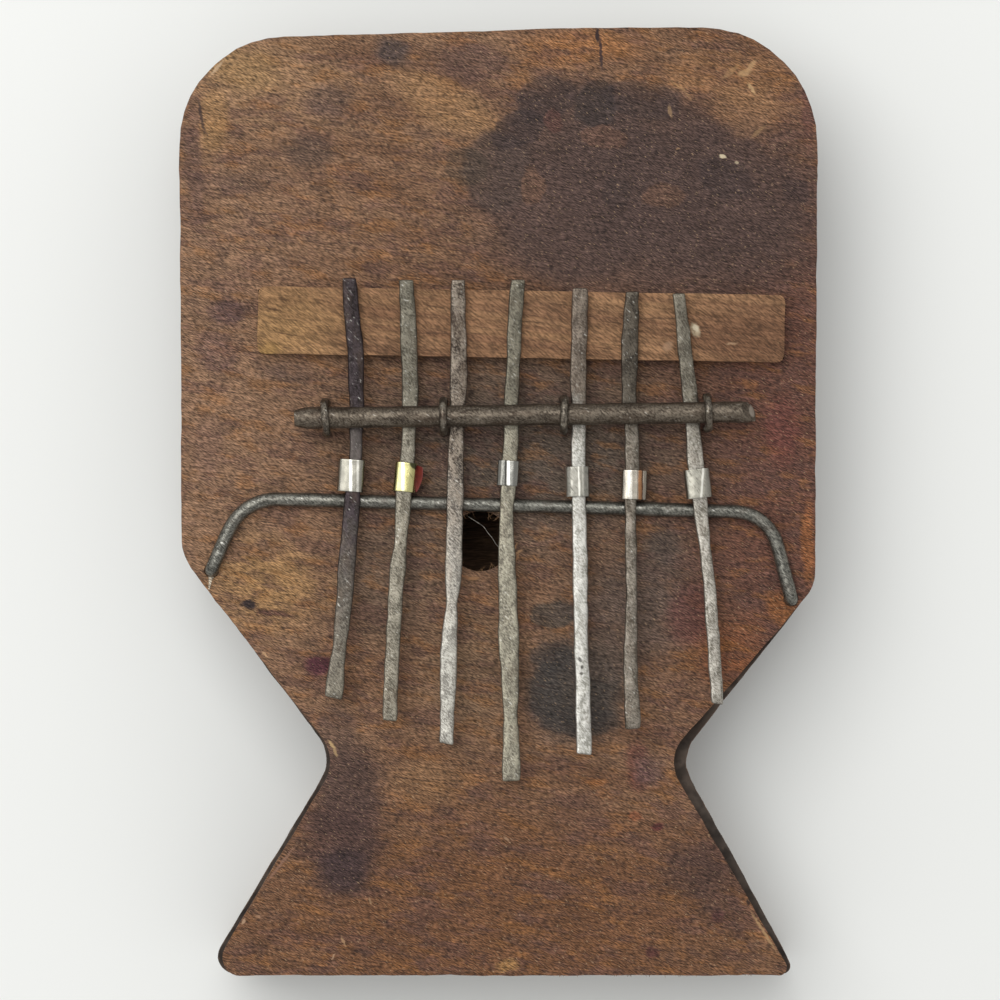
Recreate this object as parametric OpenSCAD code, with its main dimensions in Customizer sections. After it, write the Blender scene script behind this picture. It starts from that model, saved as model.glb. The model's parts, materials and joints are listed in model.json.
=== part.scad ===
// Box-resonator kalimba with seven hammered tines, lying on its back.
// Millimetres. +X to the right, +Y towards the head, +Z out of the soundboard.

/* [Box] */
// Width across the head
board_w = 127.8; // [120:0.2:150]
// Length from the head to the tail
board_l = 189.6; // [180:0.2:220]
// Thickness of the plywood soundboard
top_t = 4; // [3:0.5:6]
// Height of the rim between the two boards
rim_h = 24; // [18:1:40]
// Thickness of the back board
back_t = 4; // [3:0.5:6]
// Thickness of the rim's wall
rim_wall = 8; // [6:0.5:10]
// Diameter of the sound hole
hole_d = 12; // [8:0.5:14]
// Place of the sound hole to the right of the middle line
hole_x = -3.7; // [-6:0.1:-2]
// Distance of the sound hole's middle in front of the front bridge
hole_ahead = 7.4; // [6:0.2:16]

/* [Outline] */
// How far the left end of the head lies below the right end
head_drop = 2.4; // [0:0.2:4]
// Distance of the head's highest point to the right of the middle line
head_crown = 21; // [0:1:30]
// Corner radius at the left end of the head
head_left_r = 21.5; // [15:0.5:28]
// Corner radius at the right end of the head
head_right_r = 23; // [15:0.5:28]
// Distance from the head to the left shoulder
shoulder_left = 105.9; // [102:0.1:112]
// Distance from the head to the right shoulder
shoulder_right = 112; // [106:0.1:118]
// How far each shoulder lies inside the full width
shoulder_inset = 0.6; // [0:0.1:1.5]
// Radius of both shoulders
shoulder_r = 9; // [6:0.5:12]
// Distance from the head to the waist
waist_down = 146.2; // [140:0.2:155]
// Width of the rim to the left of the middle line at the waist
waist_left = 33; // [28:0.1:40]
// Width of the rim to the right of the middle line at the waist
waist_right = 36.3; // [28:0.1:40]
// Radius of both hollows at the waist
waist_r = 7.5; // [4:0.5:12]
// Width of the rim to the left of the middle line at the tail
tail_left = 59; // [52:0.2:62]
// Width of the rim to the right of the middle line at the tail
tail_right = 59.9; // [52:0.2:62]
// Radius of the left tail tip
tail_left_r = 3.5; // [1:0.1:6]
// Radius of the right tail tip
tail_right_r = 1.6; // [1:0.1:6]
// How far the soundboard is trimmed inside the rim at the left of the waist
trim_left = 0.9; // [0:0.1:3]
// How far the soundboard is trimmed inside the rim at the right of the waist
trim_right = 2.9; // [0:0.1:3]
// How far the soundboard is trimmed inside the rim at both tail tips
trim_tail = 1; // [0:0.1:2]

/* [Front bridge] */
// Diameter of the bent rod
rod_d = 2.8; // [2.4:0.1:3.4]
// Place of the rod's straight middle above the left shoulder
rod_y = 10.4; // [7.1:0.1:15.1]
// Turn of the straight middle
rod_tilt = -1.55; // [-3:0.05:3]
// Distance of the left bend from the left edge
rod_left = 12.8; // [11.9:0.1:15.9]
// Distance of the right bend from the right edge
rod_right = 9.9; // [8.9:0.1:13.9]
// Radius of the left bend
bend_left_r = 10.5; // [6:0.5:14]
// Radius of the right bend
bend_right_r = 9; // [5:0.5:14]
// Length of the left leg from the bend's corner
leg_left = 15.8; // [14:0.1:17]
// Length of the right leg from the bend's corner
leg_right = 18; // [15:0.1:19]
// How far the left leg leans out
leg_left_lean = 23.5; // [14:0.5:25]
// How far the right leg leans out
leg_right_lean = 14.5; // [10:0.5:16]
// How far each leg's point is driven in
spike_l = 8; // [6:0.2:12]
// Diameter at the end of the point
spike_d = 0.9; // [0.6:0.1:1.4]

/* [Pressure bar and ties] */
// Diameter of the round bar
bar_d = 4.4; // [3.6:0.1:5.4]
// Distance of the bar behind the front bridge
bar_behind = 17.8; // [16.4:0.1:18.4]
// Turn of the bar
bar_tilt = 0.8; // [-2:0.1:2]
// Length of the bar to the left of the middle line
bar_left = 40.5; // [37:0.1:48]
// Length of the bar to the right of the middle line
bar_right = 51.1; // [45:0.1:56]
// Length of the worn taper at the bar's ends
bar_taper = 1.2; // [0.4:0.1:2]
// Diameter of the tie wire
wire_d = 1.35; // [1:0.05:1.5]
// Places of the four ties along the bar
tie_x = [-34.3, -10.95, 13, 41.6]; // [-36:0.05:43]
// Length of the bent-over wire ends under the soundboard
clinch_l = 5; // [3:0.5:8]
// Radius of the bend at those ends
clinch_r = 1.3; // [1.1:0.1:2]

/* [Rear bridge] */
// Length of the wooden strip
strip_l = 105; // [96:0.5:112]
// Width of the wooden strip
strip_w = 13.4; // [10:0.2:15]
// Height of the wooden strip
strip_h = 3.2; // [2.9:0.1:4]
// Place of the strip's middle to the right of the middle line
strip_x = 4.4; // [0:0.1:5]
// Distance of the strip's front edge behind the front bridge
strip_behind = 29.4; // [28.6:0.1:32]
// Turn of the strip
strip_tilt = -1; // [-1.5:0.1:1.5]

/* [Tines] */
// Thickness of the hammered strips
tine_t = 1.2; // [0.8:0.1:1.6]
// Rise of each playing length for every millimetre in front of the front bridge
play_rise = 0.05; // [0.03:0.01:0.1]
// How far a tine can be pushed in or drawn out to tune it
tune_travel = 1.5; // [0.5:0.1:2]
// Place of each tine over the front bridge
tine_x = [-29.1, -19, -8.7, 1.7, 16.1, 26.3, 40.3]; // [-30:0.1:42]
// Length of each tine behind the front bridge
heel_l = [44.4, 44.3, 44.6, 44.9, 43.6, 43.2, 43.2]; // [42:0.1:47]
// Playing length of each tine
play_l = [39.2, 43.4, 47.7, 54.8, 49.1, 43.8, 38.5]; // [34:0.1:58]

/* [Buzzer rings] */
// Thickness of the sheet metal
ring_t = 0.35; // [0.25:0.05:0.5]
// Outside height of a ring
ring_h = 3.4; // [3:0.1:4]
// Outside width of each ring, 0 where a tine has none
ring_w = [5.4, 4.4, 0, 4.4, 4.7, 5.2, 5.2]; // [0:0.1:6]
// Length of each ring along its tine
ring_l = [6.4, 5.8, 0, 5, 6, 5.8, 5.8]; // [0:0.1:7]
// Shift of each ring to the right of its tine
ring_shift = [-0.6, -0.1, 0, -0.15, -0.25, 0.55, 0]; // [-0.6:0.05:0.6]
// Distance of each ring behind the rod
ring_back = [0.35, 0.7, 0, 2.4, 0.6, 0.35, 0.7]; // [0:0.05:3]
// Length of the loose end that stands out of the second ring
flare_l = 2; // [1:0.1:3]

/* [Clearances] */
// Between a tine and what holds it, and between a ring and its tine
run_gap = 0.25; // [0.2:0.05:0.4]
// Between pieces that rest on one another
seat_gap = 0.05; // [0.02:0.01:0.1]
// Round the wire and the points in their holes
hole_gap = 0.1; // [0.05:0.01:0.2]
// Between the bar and the wire looped over it
tie_slack = 0.3; // [0.1:0.05:0.4]
// Between a tine's two lengths over the front bridge
bend_gap = 0.2; // [0.15:0.05:0.3]

/* [Hidden] */
$fn = 48;
// Straight pieces in each rounded corner of an outline
corner_steps = 10;
// Straight pieces in each rounded corner of a ring
ring_steps = 5;
// Corner radius of a ring, outside
ring_r = 0.9;
// Room inside the tight bend at the rod's ends
elbow_room = 0.2;
// How much the rod swells where it was bent, on its radius
bend_swell = 0.03;
// How far a straight length runs into a bend
bend_lap = 0.2;
// Extra depth of a cut past the face it opens
cut = 1;

// Width along each heel: distance behind the front bridge, shift to the right, width
heel_shape = [
    [[9, 0.6, 2.3], [17, 0.9, 2.6], [29.5, 0.7, 3], [39, -0.2, 2.8], [48, -0.8, 2.4]],
    [[9, 0.9, 2.9], [14, 1.1, 2.6], [22, 1.4, 3], [32, 1.2, 3.1], [48, 0.5, 2.4]],
    [[6, 0.1, 3], [14, 0.3, 2.6], [24, 0.8, 3.2], [34, 0.8, 2.8], [48, 0.6, 2.5]],
    [[9, 0.5, 3], [14, 0.8, 2.8], [20, 0.9, 2.6], [35, 1.5, 2.6], [48, 2.3, 2.5]],
    [[10, -0.2, 2.8], [17, -0.1, 2.5], [25, -0.3, 3], [35, 0, 3], [48, 0.2, 2.8]],
    [[8, 0.3, 2.6], [14, 0.3, 2.5], [21, -0.3, 2.6], [33, -0.1, 3.2], [48, 0.4, 2]],
    [[9, -1, 3.2], [14, -1.4, 2.7], [24, -2.3, 2.8], [34, -3.4, 2.6], [48, -5, 2]]
];
// Width over the front bridge
tine_w = [2.7, 3, 3.1, 2.4, 2.5, 2, 2.7];
// Width along each playing length: distance in front of the bridge, shift to the right, width
play_shape = [
    [[9, -0.8, 3.2], [18, -1.4, 3.1], [29, -2.5, 2.5], [37, -3.5, 3.4], [60, -5.5, 3.4]],
    [[8, -0.5, 2.3], [13, -1.1, 3.1], [20, -1.6, 2.7], [33, -2.3, 2.6], [60, -3, 2.6]],
    [[13, -0.2, 3.3], [20, -0.6, 1.9], [29, -1.2, 3.2], [43, -1.5, 2.6], [60, -2, 2.6]],
    [[11, -0.1, 3.1], [27, 0.4, 4], [35, 0.6, 3.1], [41, 0.7, 2.6], [51, 0.8, 3.5], [66, 0.8, 3.4]],
    [[9, 0.1, 2.8], [24, 0.3, 2.6], [42, 0.8, 2.8], [60, 1.1, 2.7]],
    [[7, 0, 2.2], [16, 0.2, 2], [29, -0.1, 2.5], [42, 0.3, 2.9], [60, 0.6, 2.9]],
    [[8, 0.9, 1.8], [15, 1.7, 2.2], [29, 2.6, 2.4], [36, 3, 2.2], [60, 4.2, 2.5]]
];

tines = [for (i = [0:len(tine_x) - 1]) i];
ties = [for (i = [0:len(tie_x) - 1]) i];
ringed = [for (i = tines) if (ring_w[i] > 0) i];

// Heights: underside of the soundboard, its top, and what lies on it
rim_top = back_t + rim_h;
deck = rim_top + top_t;
rod_z = deck + seat_gap + bend_swell + rod_d / 2;
tine_z = rod_z + rod_d / 2 + run_gap;
tine_top = tine_z + tine_t;
bar_z = tine_top + run_gap + bar_d / 2;
strip_z = deck + seat_gap;
ring_top = tine_top + run_gap + ring_t;
// Radius of a tie at the middle of its wire
tie_r = (bar_d + wire_d) / 2 + tie_slack;

// Lines across the board: front bridge, pressure bar and the strip's front edge
rod_middle = board_l / 2 - shoulder_left + rod_y;
function rod_line(x) = rod_middle + x * tan(rod_tilt);
function bar_line(x) = rod_middle + bar_behind + x * tan(bar_tilt);
function strip_line(x) = rod_middle + strip_behind + x * tan(strip_tilt);

// Shift and width at a distance along a list of stations
function along(shape, d, column) = lookup(d, [for (s = shape) [s[0], s[column]]]);
function heel_stations(i) = concat([[0, 0, tine_w[i]]], heel_shape[i]);
function play_stations(i) = concat([[0, 0, tine_w[i]]], play_shape[i]);
// Lean of a tine between the bridge and the bar, in degrees to the right
function tine_lean(i) = atan(tine_shift(i, bar_behind) / bar_behind);

// Outline of the rim, or of the soundboard with its trim, as corners with radii
function box_corners(trim) = [
    [-board_w / 2, board_l / 2 - head_drop, head_left_r],
    [shoulder_inset - board_w / 2, board_l / 2 - shoulder_left, shoulder_r],
    [trim * trim_left - waist_left, board_l / 2 - waist_down, waist_r],
    [trim * trim_tail - tail_left, -board_l / 2, tail_left_r],
    [tail_right - trim * trim_tail, -board_l / 2, tail_right_r],
    [waist_right - trim * trim_right, board_l / 2 - waist_down, waist_r],
    [board_w / 2 - shoulder_inset, board_l / 2 - shoulder_right, shoulder_r],
    [board_w / 2, board_l / 2, head_right_r],
    [head_crown, board_l / 2, 0]
];

function unit(v) = v / norm(v);
function flat(p) = [p[0], p[1]];
function left_of(v) = [-v[1], v[0]];
function before(list, i) = list[(i + len(list) - 1) % len(list)];
function after(list, i) = list[(i + 1) % len(list)];

// Points of a corner whose sharp edge is replaced by an arc
function arc_corner(from, at, to, r, steps) = r <= 0 ? [at] :
    let (u = unit(from - at), v = unit(to - at), half = acos(u * v) / 2)
    let (middle = at + unit(u + v) * r / sin(half))
    let (start = at + u * r / tan(half) - middle, end = at + v * r / tan(half) - middle)
    let (first = atan2(start[1], start[0]), turn = atan2(end[1], end[0]) - first)
    let (sweep = turn > 180 ? turn - 360 : turn < -180 ? turn + 360 : turn)
    [for (k = [0:steps]) let (a = first + sweep * k / steps) middle + r * [cos(a), sin(a)]];

function rounded(corners, steps) = [for (i = [0:len(corners) - 1])
    each arc_corner(flat(before(corners, i)), flat(corners[i]), flat(after(corners, i)), corners[i][2], steps)];

// Outline moved inwards by a wall, for corners listed anticlockwise
function inset(corners, wall) = [for (i = [0:len(corners) - 1])
    let (at = flat(corners[i]))
    let (u = left_of(unit(at - flat(before(corners, i)))), v = left_of(unit(flat(after(corners, i)) - at)))
    let (hollow = left_of(u) * v < 0)
    concat(at + wall * (u + v) / (1 + u * v), [inset_radius(corners[i][2], wall, hollow)])];
function inset_radius(r, wall, hollow) = r == 0 ? 0 : hollow ? r + wall : max(r - wall, 1);

function tie_name(i) = str("wire_tie_", i + 1);
function heel_name(i) = str("tine_", i + 1, "_heel");
function reed_name(i) = str("tine_", i + 1, "_reed");
function ring_name(i) = str("buzzer_ring_", i + 1);

wood = "#6b4a30";
dark_wood = "#3a2c22";
pale_wood = "#8a5f3c";
iron = "#55524c";
dull_iron = "#4a4038";
tin = "#b9b7ad";

// Back panel of the box
module back_board() {
    color(dark_wood) linear_extrude(back_t) polygon(rounded(box_corners(0), corner_steps));
}

// Rim of the box, a closed band between the two boards
module body_frame() {
    color(dark_wood) difference() {
        translate([0, 0, back_t]) linear_extrude(rim_h) difference() {
            polygon(rounded(box_corners(0), corner_steps));
            polygon(rounded(inset(box_corners(0), rim_wall), corner_steps));
        }
        spike_holes();
    }
}

// Plywood panel with the sound hole and the holes for ties and rod points
module soundboard() {
    color(wood) difference() {
        translate([0, 0, rim_top]) linear_extrude(top_t) polygon(rounded(box_corners(1), corner_steps));
        translate([hole_x, rod_line(hole_x) - hole_ahead, rim_top - cut])
            cylinder(d = hole_d, h = top_t + 2 * cut);
        for (i = ties) at_tie(i) for (side = [-1, 1])
            translate([0, side * tie_r, rim_top - bar_z - cut])
                cylinder(d = wire_d + 2 * hole_gap, h = top_t + 2 * cut);
        spike_holes();
    }
}

// Wooden strip under the heels
module rear_bridge() {
    color(pale_wood)
        translate([0, rod_middle + strip_behind, strip_z])
        rotate(strip_tilt)
        translate([strip_x - strip_l / 2, 0, 0])
        cube([strip_l, strip_w, strip_h]);
}

// Corners of the bent rod: left point, left bend, right bend, right point
function rod_corner(x) = [x, rod_line(x)];
rod_bend_left = rod_corner(rod_left - board_w / 2);
rod_bend_right = rod_corner(board_w / 2 - rod_right);
rod_along = [cos(rod_tilt), sin(rod_tilt)];
leg_up_left = [sin(leg_left_lean), cos(leg_left_lean)];
leg_up_right = [-sin(leg_right_lean), cos(leg_right_lean)];
rod_point_left = rod_bend_left - leg_left * leg_up_left;
rod_point_right = rod_bend_right - leg_right * leg_up_right;
bend_turn_left = 90 - leg_left_lean - rod_tilt;
bend_turn_right = 90 - leg_right_lean + rod_tilt;
bend_run_left = bend_left_r * tan(bend_turn_left / 2);
bend_run_right = bend_right_r * tan(bend_turn_right / 2);
elbow_r = rod_d / 2 + elbow_room;
bend_rod_r = rod_d / 2 + bend_swell;

// Straight length of the rod between two points of the plan, let into the bends at its ends
module rod_straight(from, to) {
    run = to - from;
    translate([from[0], from[1], rod_z])
        rotate(atan2(run[1], run[0]))
        rotate([0, 90, 0])
        translate([0, 0, -bend_lap])
        cylinder(d = rod_d, h = norm(run) + 2 * bend_lap);
}

// Bend of the rod in the plan, starting along a direction and turning clockwise
module rod_bend(start, heading, r, turn) {
    translate([start[0], start[1], rod_z])
        rotate(heading)
        translate([0, -r, 0])
        rotate(90 - turn)
        rotate_extrude(angle = turn) translate([r, 0]) circle(r = bend_rod_r);
}

// Points driven in at the rod's two ends, grown by a gap when they cut their holes
module spikes(gap) {
    for (p = [rod_point_left, rod_point_right])
        translate([p[0], p[1], rod_z - spike_l])
        cylinder(d1 = spike_d + 2 * gap, d2 = rod_d + 2 * gap, h = spike_l - elbow_r + bend_lap);
}

// Holes for those points, straight above the taper
module spike_holes() {
    spikes(hole_gap);
    for (p = [rod_point_left, rod_point_right])
        translate([p[0], p[1], rod_z - elbow_r])
        cylinder(d = rod_d + 2 * hole_gap, h = elbow_r);
}

// Tight bend that turns a leg down into the board
module elbow(point, heading) {
    translate([point[0], point[1], rod_z - elbow_r])
        rotate(heading)
        translate([-elbow_r, 0, 0])
        rotate([90, 0, 0])
        rotate_extrude(angle = 90) translate([elbow_r, 0]) circle(r = bend_rod_r);
}

// Bent iron rod that the tines cross
module front_bridge() {
    left_start = rod_bend_left - bend_run_left * leg_up_left;
    left_end = rod_bend_left + bend_run_left * rod_along;
    right_start = rod_bend_right - bend_run_right * rod_along;
    right_end = rod_bend_right - bend_run_right * leg_up_right;
    color(iron) union() {
        elbow(rod_point_left, -90 - leg_left_lean);
        rod_straight(rod_point_left + elbow_r * leg_up_left, left_start);
        rod_bend(left_start, 90 - leg_left_lean, bend_left_r, bend_turn_left);
        rod_straight(left_end, right_start);
        rod_bend(right_start, rod_tilt, bend_right_r, bend_turn_right);
        rod_straight(right_end, rod_point_right + elbow_r * leg_up_right);
        elbow(rod_point_right, leg_right_lean - 90);
        spikes(0);
    }
}

// Place of the bar: its own X along the rod, at its height
module at_bar() {
    translate([0, rod_middle + bar_behind, bar_z]) rotate(bar_tilt) children();
}

// Round iron bar across the tines
module pressure_bar() {
    straight = bar_left + bar_right - 2 * bar_taper;
    color(dull_iron) at_bar() rotate([0, 90, 0]) union() {
        translate([0, 0, bar_taper - bar_left]) cylinder(d = bar_d, h = straight);
        translate([0, 0, -bar_left]) cylinder(d1 = bar_d - bar_taper, d2 = bar_d, h = bar_taper);
        translate([0, 0, bar_right - bar_taper]) cylinder(d1 = bar_d, d2 = bar_d - bar_taper, h = bar_taper);
    }
}

module at_tie(i) {
    at_bar() translate([tie_x[i], 0, 0]) children();
}

// Wire loop over the bar, down through the soundboard and bent over inside the box
module wire_tie(i) {
    leg = bar_z - rim_top + seat_gap;
    color(dull_iron) at_tie(i) union() {
        rotate([90, 0, 90]) rotate_extrude(angle = 180) translate([tie_r, 0]) circle(d = wire_d);
        for (side = [-1, 1]) {
            translate([0, side * tie_r, -leg]) cylinder(d = wire_d, h = leg);
            translate([0, side * (tie_r + clinch_r), -leg]) clinch(side);
        }
    }
}

// Bent end of a tie: a quarter turn outwards, then a straight end
module clinch(side) {
    rotate(side > 0 ? 0 : 180) {
        rotate([90, 0, 90]) rotate([0, 0, 180]) rotate_extrude(angle = 90)
            translate([clinch_r, 0]) circle(d = wire_d);
        translate([0, 0, -clinch_r]) rotate([-90, 0, 0]) cylinder(d = wire_d, h = clinch_l);
    }
}

// Left and right edges of a strip in plan, from the bridge to its end
function strip_edge(stations, end, side, step) = [for (s = concat([for (s = stations) if (s[0] < end) s[0]], [end]))
    [along(stations, s, 1) + side * along(stations, s, 2) / 2, step * s]];
function strip_plan(stations, end, step) = concat(
    strip_edge(stations, end, -1, step),
    [for (k = [1:len(strip_edge(stations, end, 1, step))])
        let (edge = strip_edge(stations, end, 1, step)) edge[len(edge) - k]]);

// Place of a tine: over the front bridge, at the height of its underside
module at_tine(i) {
    translate([tine_x[i], rod_line(tine_x[i]), tine_z]) children();
}

// Strip cut from its plan and its side outline
module tine_solid(plan, side) {
    span = max([for (p = plan) abs(p[0])]) + cut;
    reach = max([for (p = side) p[1]]) + cut;
    intersection() {
        translate([0, 0, -cut]) linear_extrude(reach + 2 * cut) polygon(plan);
        translate([-span, 0, 0]) rotate([90, 0, 90]) linear_extrude(2 * span) polygon(side);
    }
}

// Distances behind the bridge where a heel starts to rise and where it clears the strip
function rise_from(i) = bar_line(tine_x[i]) - rod_line(tine_x[i]) + bar_d / 2 + tune_travel;
function rise_to(i) = strip_line(tine_x[i]) - rod_line(tine_x[i]) - tune_travel;
function heel_slope(i) = max(strip_z + strip_h + run_gap - tine_z, 0) / (rise_to(i) - rise_from(i));
function heel_height(i) = heel_slope(i) * (heel_l[i] - rise_from(i));

// Held length of a tine, level under the bar and rising over the strip
module tine_heel(i) {
    side = [
        [bend_gap / 2, 0], [rise_from(i), 0], [heel_l[i], heel_height(i)],
        [heel_l[i], heel_height(i) + tine_t], [rise_from(i), tine_t], [bend_gap / 2, tine_t]
    ];
    color(iron) at_tine(i) tine_solid(strip_plan(heel_stations(i), heel_l[i] + cut, 1), side);
}

// Playing length of a tine, rising away from the bridge
module tine_reed(i) {
    tip = play_l[i];
    side = [
        [-bend_gap / 2, 0], [-bend_gap / 2, tine_t], [-tip, play_rise * tip + tine_t], [-tip, play_rise * tip]
    ];
    color(iron) at_tine(i) tine_solid(strip_plan(play_stations(i), tip + cut, -1), side);
}

// Ends of a ring along its tine, behind the front bridge, clear of the rod at both corners
function ring_skew(i) = ring_w[i] / 2 * abs(tan(tine_lean(i) + rod_tilt));
function ring_front(i) = rod_d / 2 + bend_swell + ring_back[i] + ring_skew(i);
function ring_rear(i) = ring_front(i) + ring_l[i];
function ring_middle(i) = (ring_front(i) + ring_rear(i)) / 2;
function tine_shift(i, d) = along(heel_stations(i), d, 1);
function ring_lean(i) = atan((tine_shift(i, ring_rear(i)) - tine_shift(i, ring_front(i))) / ring_l[i]);

// Place of a ring on its tine, turned along it
module at_ring(i) {
    at_tine(i) translate([tine_shift(i, ring_middle(i)), ring_middle(i), ring_top - tine_z])
        rotate(-ring_lean(i))
        translate([ring_shift[i], -ring_l[i] / 2, 0])
        children();
}

// Outline of a ring with its top at zero height
function ring_corners(i, wall) = let (w = ring_w[i] / 2 - wall, r = ring_r - wall)
    [[-w, wall - ring_h, r], [w, wall - ring_h, r], [w, -wall, r], [-w, -wall, r]];

// Sheet-metal sleeve round a tine; the second has a loose end that stands out
module buzzer_ring(i) {
    color(tin) at_ring(i) rotate([90, 0, 0]) translate([0, 0, -ring_l[i]]) linear_extrude(ring_l[i]) {
        difference() {
            polygon(rounded(ring_corners(i, 0), ring_steps));
            polygon(rounded(ring_corners(i, ring_t), ring_steps));
        }
        if (i == 1) translate([ring_w[i] / 2 - ring_t, -ring_h / 2]) rotate(20) square([flare_l + ring_t, ring_t]);
    }
}

back_board();
body_frame();
soundboard();
rear_bridge();
front_bridge();
pressure_bar();
for (i = ties) wire_tie(i);
for (i = tines) tine_heel(i);
for (i = tines) tine_reed(i);
for (i = ringed) buzzer_ring(i);
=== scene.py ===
import json
import random
from math import atan2, copysign, cos, degrees, pi, radians, sin, tan

import bpy
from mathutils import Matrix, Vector


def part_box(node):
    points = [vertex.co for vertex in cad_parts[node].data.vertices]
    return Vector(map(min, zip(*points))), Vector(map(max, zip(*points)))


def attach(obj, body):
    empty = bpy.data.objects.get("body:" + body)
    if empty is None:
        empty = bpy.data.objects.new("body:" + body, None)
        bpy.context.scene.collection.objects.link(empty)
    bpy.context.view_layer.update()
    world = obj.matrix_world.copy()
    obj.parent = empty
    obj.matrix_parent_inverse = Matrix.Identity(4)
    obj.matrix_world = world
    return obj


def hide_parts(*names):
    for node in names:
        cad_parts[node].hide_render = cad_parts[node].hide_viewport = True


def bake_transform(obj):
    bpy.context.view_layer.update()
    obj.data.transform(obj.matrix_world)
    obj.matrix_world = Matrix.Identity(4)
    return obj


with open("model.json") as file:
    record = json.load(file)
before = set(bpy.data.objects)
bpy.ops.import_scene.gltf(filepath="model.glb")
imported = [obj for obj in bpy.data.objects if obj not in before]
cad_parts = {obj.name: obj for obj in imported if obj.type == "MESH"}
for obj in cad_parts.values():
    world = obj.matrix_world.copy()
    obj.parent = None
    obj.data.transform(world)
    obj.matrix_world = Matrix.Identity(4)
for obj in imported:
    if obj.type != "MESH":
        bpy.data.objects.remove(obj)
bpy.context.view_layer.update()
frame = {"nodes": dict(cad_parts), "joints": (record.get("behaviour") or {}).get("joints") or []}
nodes = frame["nodes"]
joints = {joint["name"]: joint for joint in frame["joints"]}
mm = 0.001
cadHeight = {"deck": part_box("soundboard")[1].z, "tine": joints["tine_1_pluck"]["pos_m"][2]}
print("frame loaded with", len(nodes), "nodes")


# Small tools for modelling by hand

closeness = {
    "weld": 0.002,       # points nearer than this become one, mm
    "cadWeld": 0.005,    # the same for a CAD mesh
    "same": 0.01,        # places nearer than this count as one, mm
    "level": 0.5,        # faces turned by less than this become one, degrees
}


def pickOnly(piece):
    bpy.ops.object.select_all(action="DESELECT")
    piece.select_set(True)
    bpy.context.view_layer.objects.active = piece


def editOn(piece):
    pickOnly(piece)
    bpy.ops.object.mode_set(mode="EDIT")


def editAll(piece):
    editOn(piece)
    bpy.ops.mesh.select_all(action="SELECT")


def editOff():
    bpy.ops.object.mode_set(mode="OBJECT")


# names the shape that was just added and fixes its place, turn and scale in its mesh
def startPiece(name, scale=None):
    piece = bpy.context.object
    piece.name = name
    if scale:
        piece.scale = scale
    bpy.ops.object.transform_apply(location=True, rotation=True, scale=True)
    return piece


# starts a round bar with its end face, picked in edit mode
def startRound(name, sides, radius, at, facing=(0, 0, 0)):
    bpy.ops.mesh.primitive_circle_add(vertices=sides, radius=radius, fill_type="NGON", location=at,
                                      rotation=facing)
    piece = startPiece(name)
    editAll(piece)
    return piece


# picks the parts of a piece in edit mode that pass a test on their middle, and their run or normal
def pickParts(piece, kind, test):
    bpy.ops.mesh.select_mode(type=kind)
    bpy.ops.mesh.select_all(action="DESELECT")
    editOff()
    points = piece.data.vertices
    if kind == "EDGE":
        for edge in piece.data.edges:
            first, last = (points[i].co for i in edge.vertices)
            edge.select = test((first + last) / 2, last - first)
    elif kind == "FACE":
        for face in piece.data.polygons:
            face.select = test(face.center, face.normal)
    else:
        for point in points:
            point.select = test(point.co, point.normal)
    bpy.ops.object.mode_set(mode="EDIT")


def pushOut(step):
    bpy.ops.mesh.extrude_region_move(TRANSFORM_OT_translate={"value": step})


def applyModifier(piece, kind, **settings):
    modifier = piece.modifiers.new(kind, kind)
    for name, value in settings.items():
        setattr(modifier, name, value)
    bpy.context.view_layer.objects.active = piece
    bpy.ops.object.modifier_apply(modifier=modifier.name)


# a dent or wave in a surface, from a noise of a real size
def roughen(piece, size, depth, axis="NORMAL", kind="CLOUDS"):
    texture = bpy.data.textures.new(piece.name + "Dents", kind)
    texture.noise_scale = size * mm
    applyModifier(piece, "DISPLACE", texture=texture, strength=depth * mm, mid_level=0.5,
                  direction=axis, texture_coords="LOCAL")
    bpy.data.textures.remove(texture)


def addDents(piece, settings):
    for dent in settings["dents"]:
        roughen(piece, *dent)


def roundEdges(piece, settings, **more):
    applyModifier(piece, "BEVEL", width=settings["edge"] * mm, segments=settings["edgeSteps"],
                  limit_method="ANGLE", angle_limit=radians(settings["sharp"]), **more)


def smoothOut(piece, levels):
    applyModifier(piece, "SUBSURF", levels=levels, render_levels=levels)


# marks the slanting faces of the edges, which are rubbed pale
def markWorn(piece, settings):
    worn = piece.data.attributes.new("worn", "FLOAT", "FACE")
    for face, value in zip(piece.data.polygons, worn.data):
        value.value = float(settings["steepest"] < abs(face.normal.z) < settings["flattest"])


# carries a picked end face along a line, or round a bend about a centre
def carryAlong(moves):
    for move in moves:
        if move[0] == "straight":
            pushOut(move[1])
        elif move[0] == "taper":
            pushOut(move[1])
            bpy.ops.transform.resize(value=(move[2],) * 3, center_override=move[3])
        else:
            bpy.ops.mesh.spin(steps=move[1], angle=radians(move[2]), center=move[3], axis=move[4])


# carries a picked end face along a run in steps of uneven thickness
def hammerAlong(at, run, settings, size, lastSize):
    chance = random.Random(settings["seed"])
    pieces = round(run.length / (settings["step"] * mm))
    for i in range(pieces):
        at = at + run / pieces
        grown = chance.uniform(*settings["swell"]) if i < pieces - 1 else lastSize
        carryAlong([("taper", run / pieces, grown / size, at)])
        size = grown
    return at


# leaves edit mode with near points joined and every face turned outwards
def tidyNormals(piece):
    editOff()
    editAll(piece)
    bpy.ops.mesh.remove_doubles(threshold=closeness["weld"] * mm)
    bpy.ops.mesh.normals_make_consistent(inside=False)
    editOff()


# names a finished piece, smooths it, and gives it its finish
def dress(piece, name, material, smooth=35):
    pickOnly(piece)
    bpy.ops.object.transform_apply(location=True, rotation=True, scale=True)
    bpy.ops.object.shade_smooth_by_angle(angle=radians(smooth))
    piece.name = name
    piece.data.name = name
    piece.data.materials.clear()
    piece.data.materials.append(material)
    return piece


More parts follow.
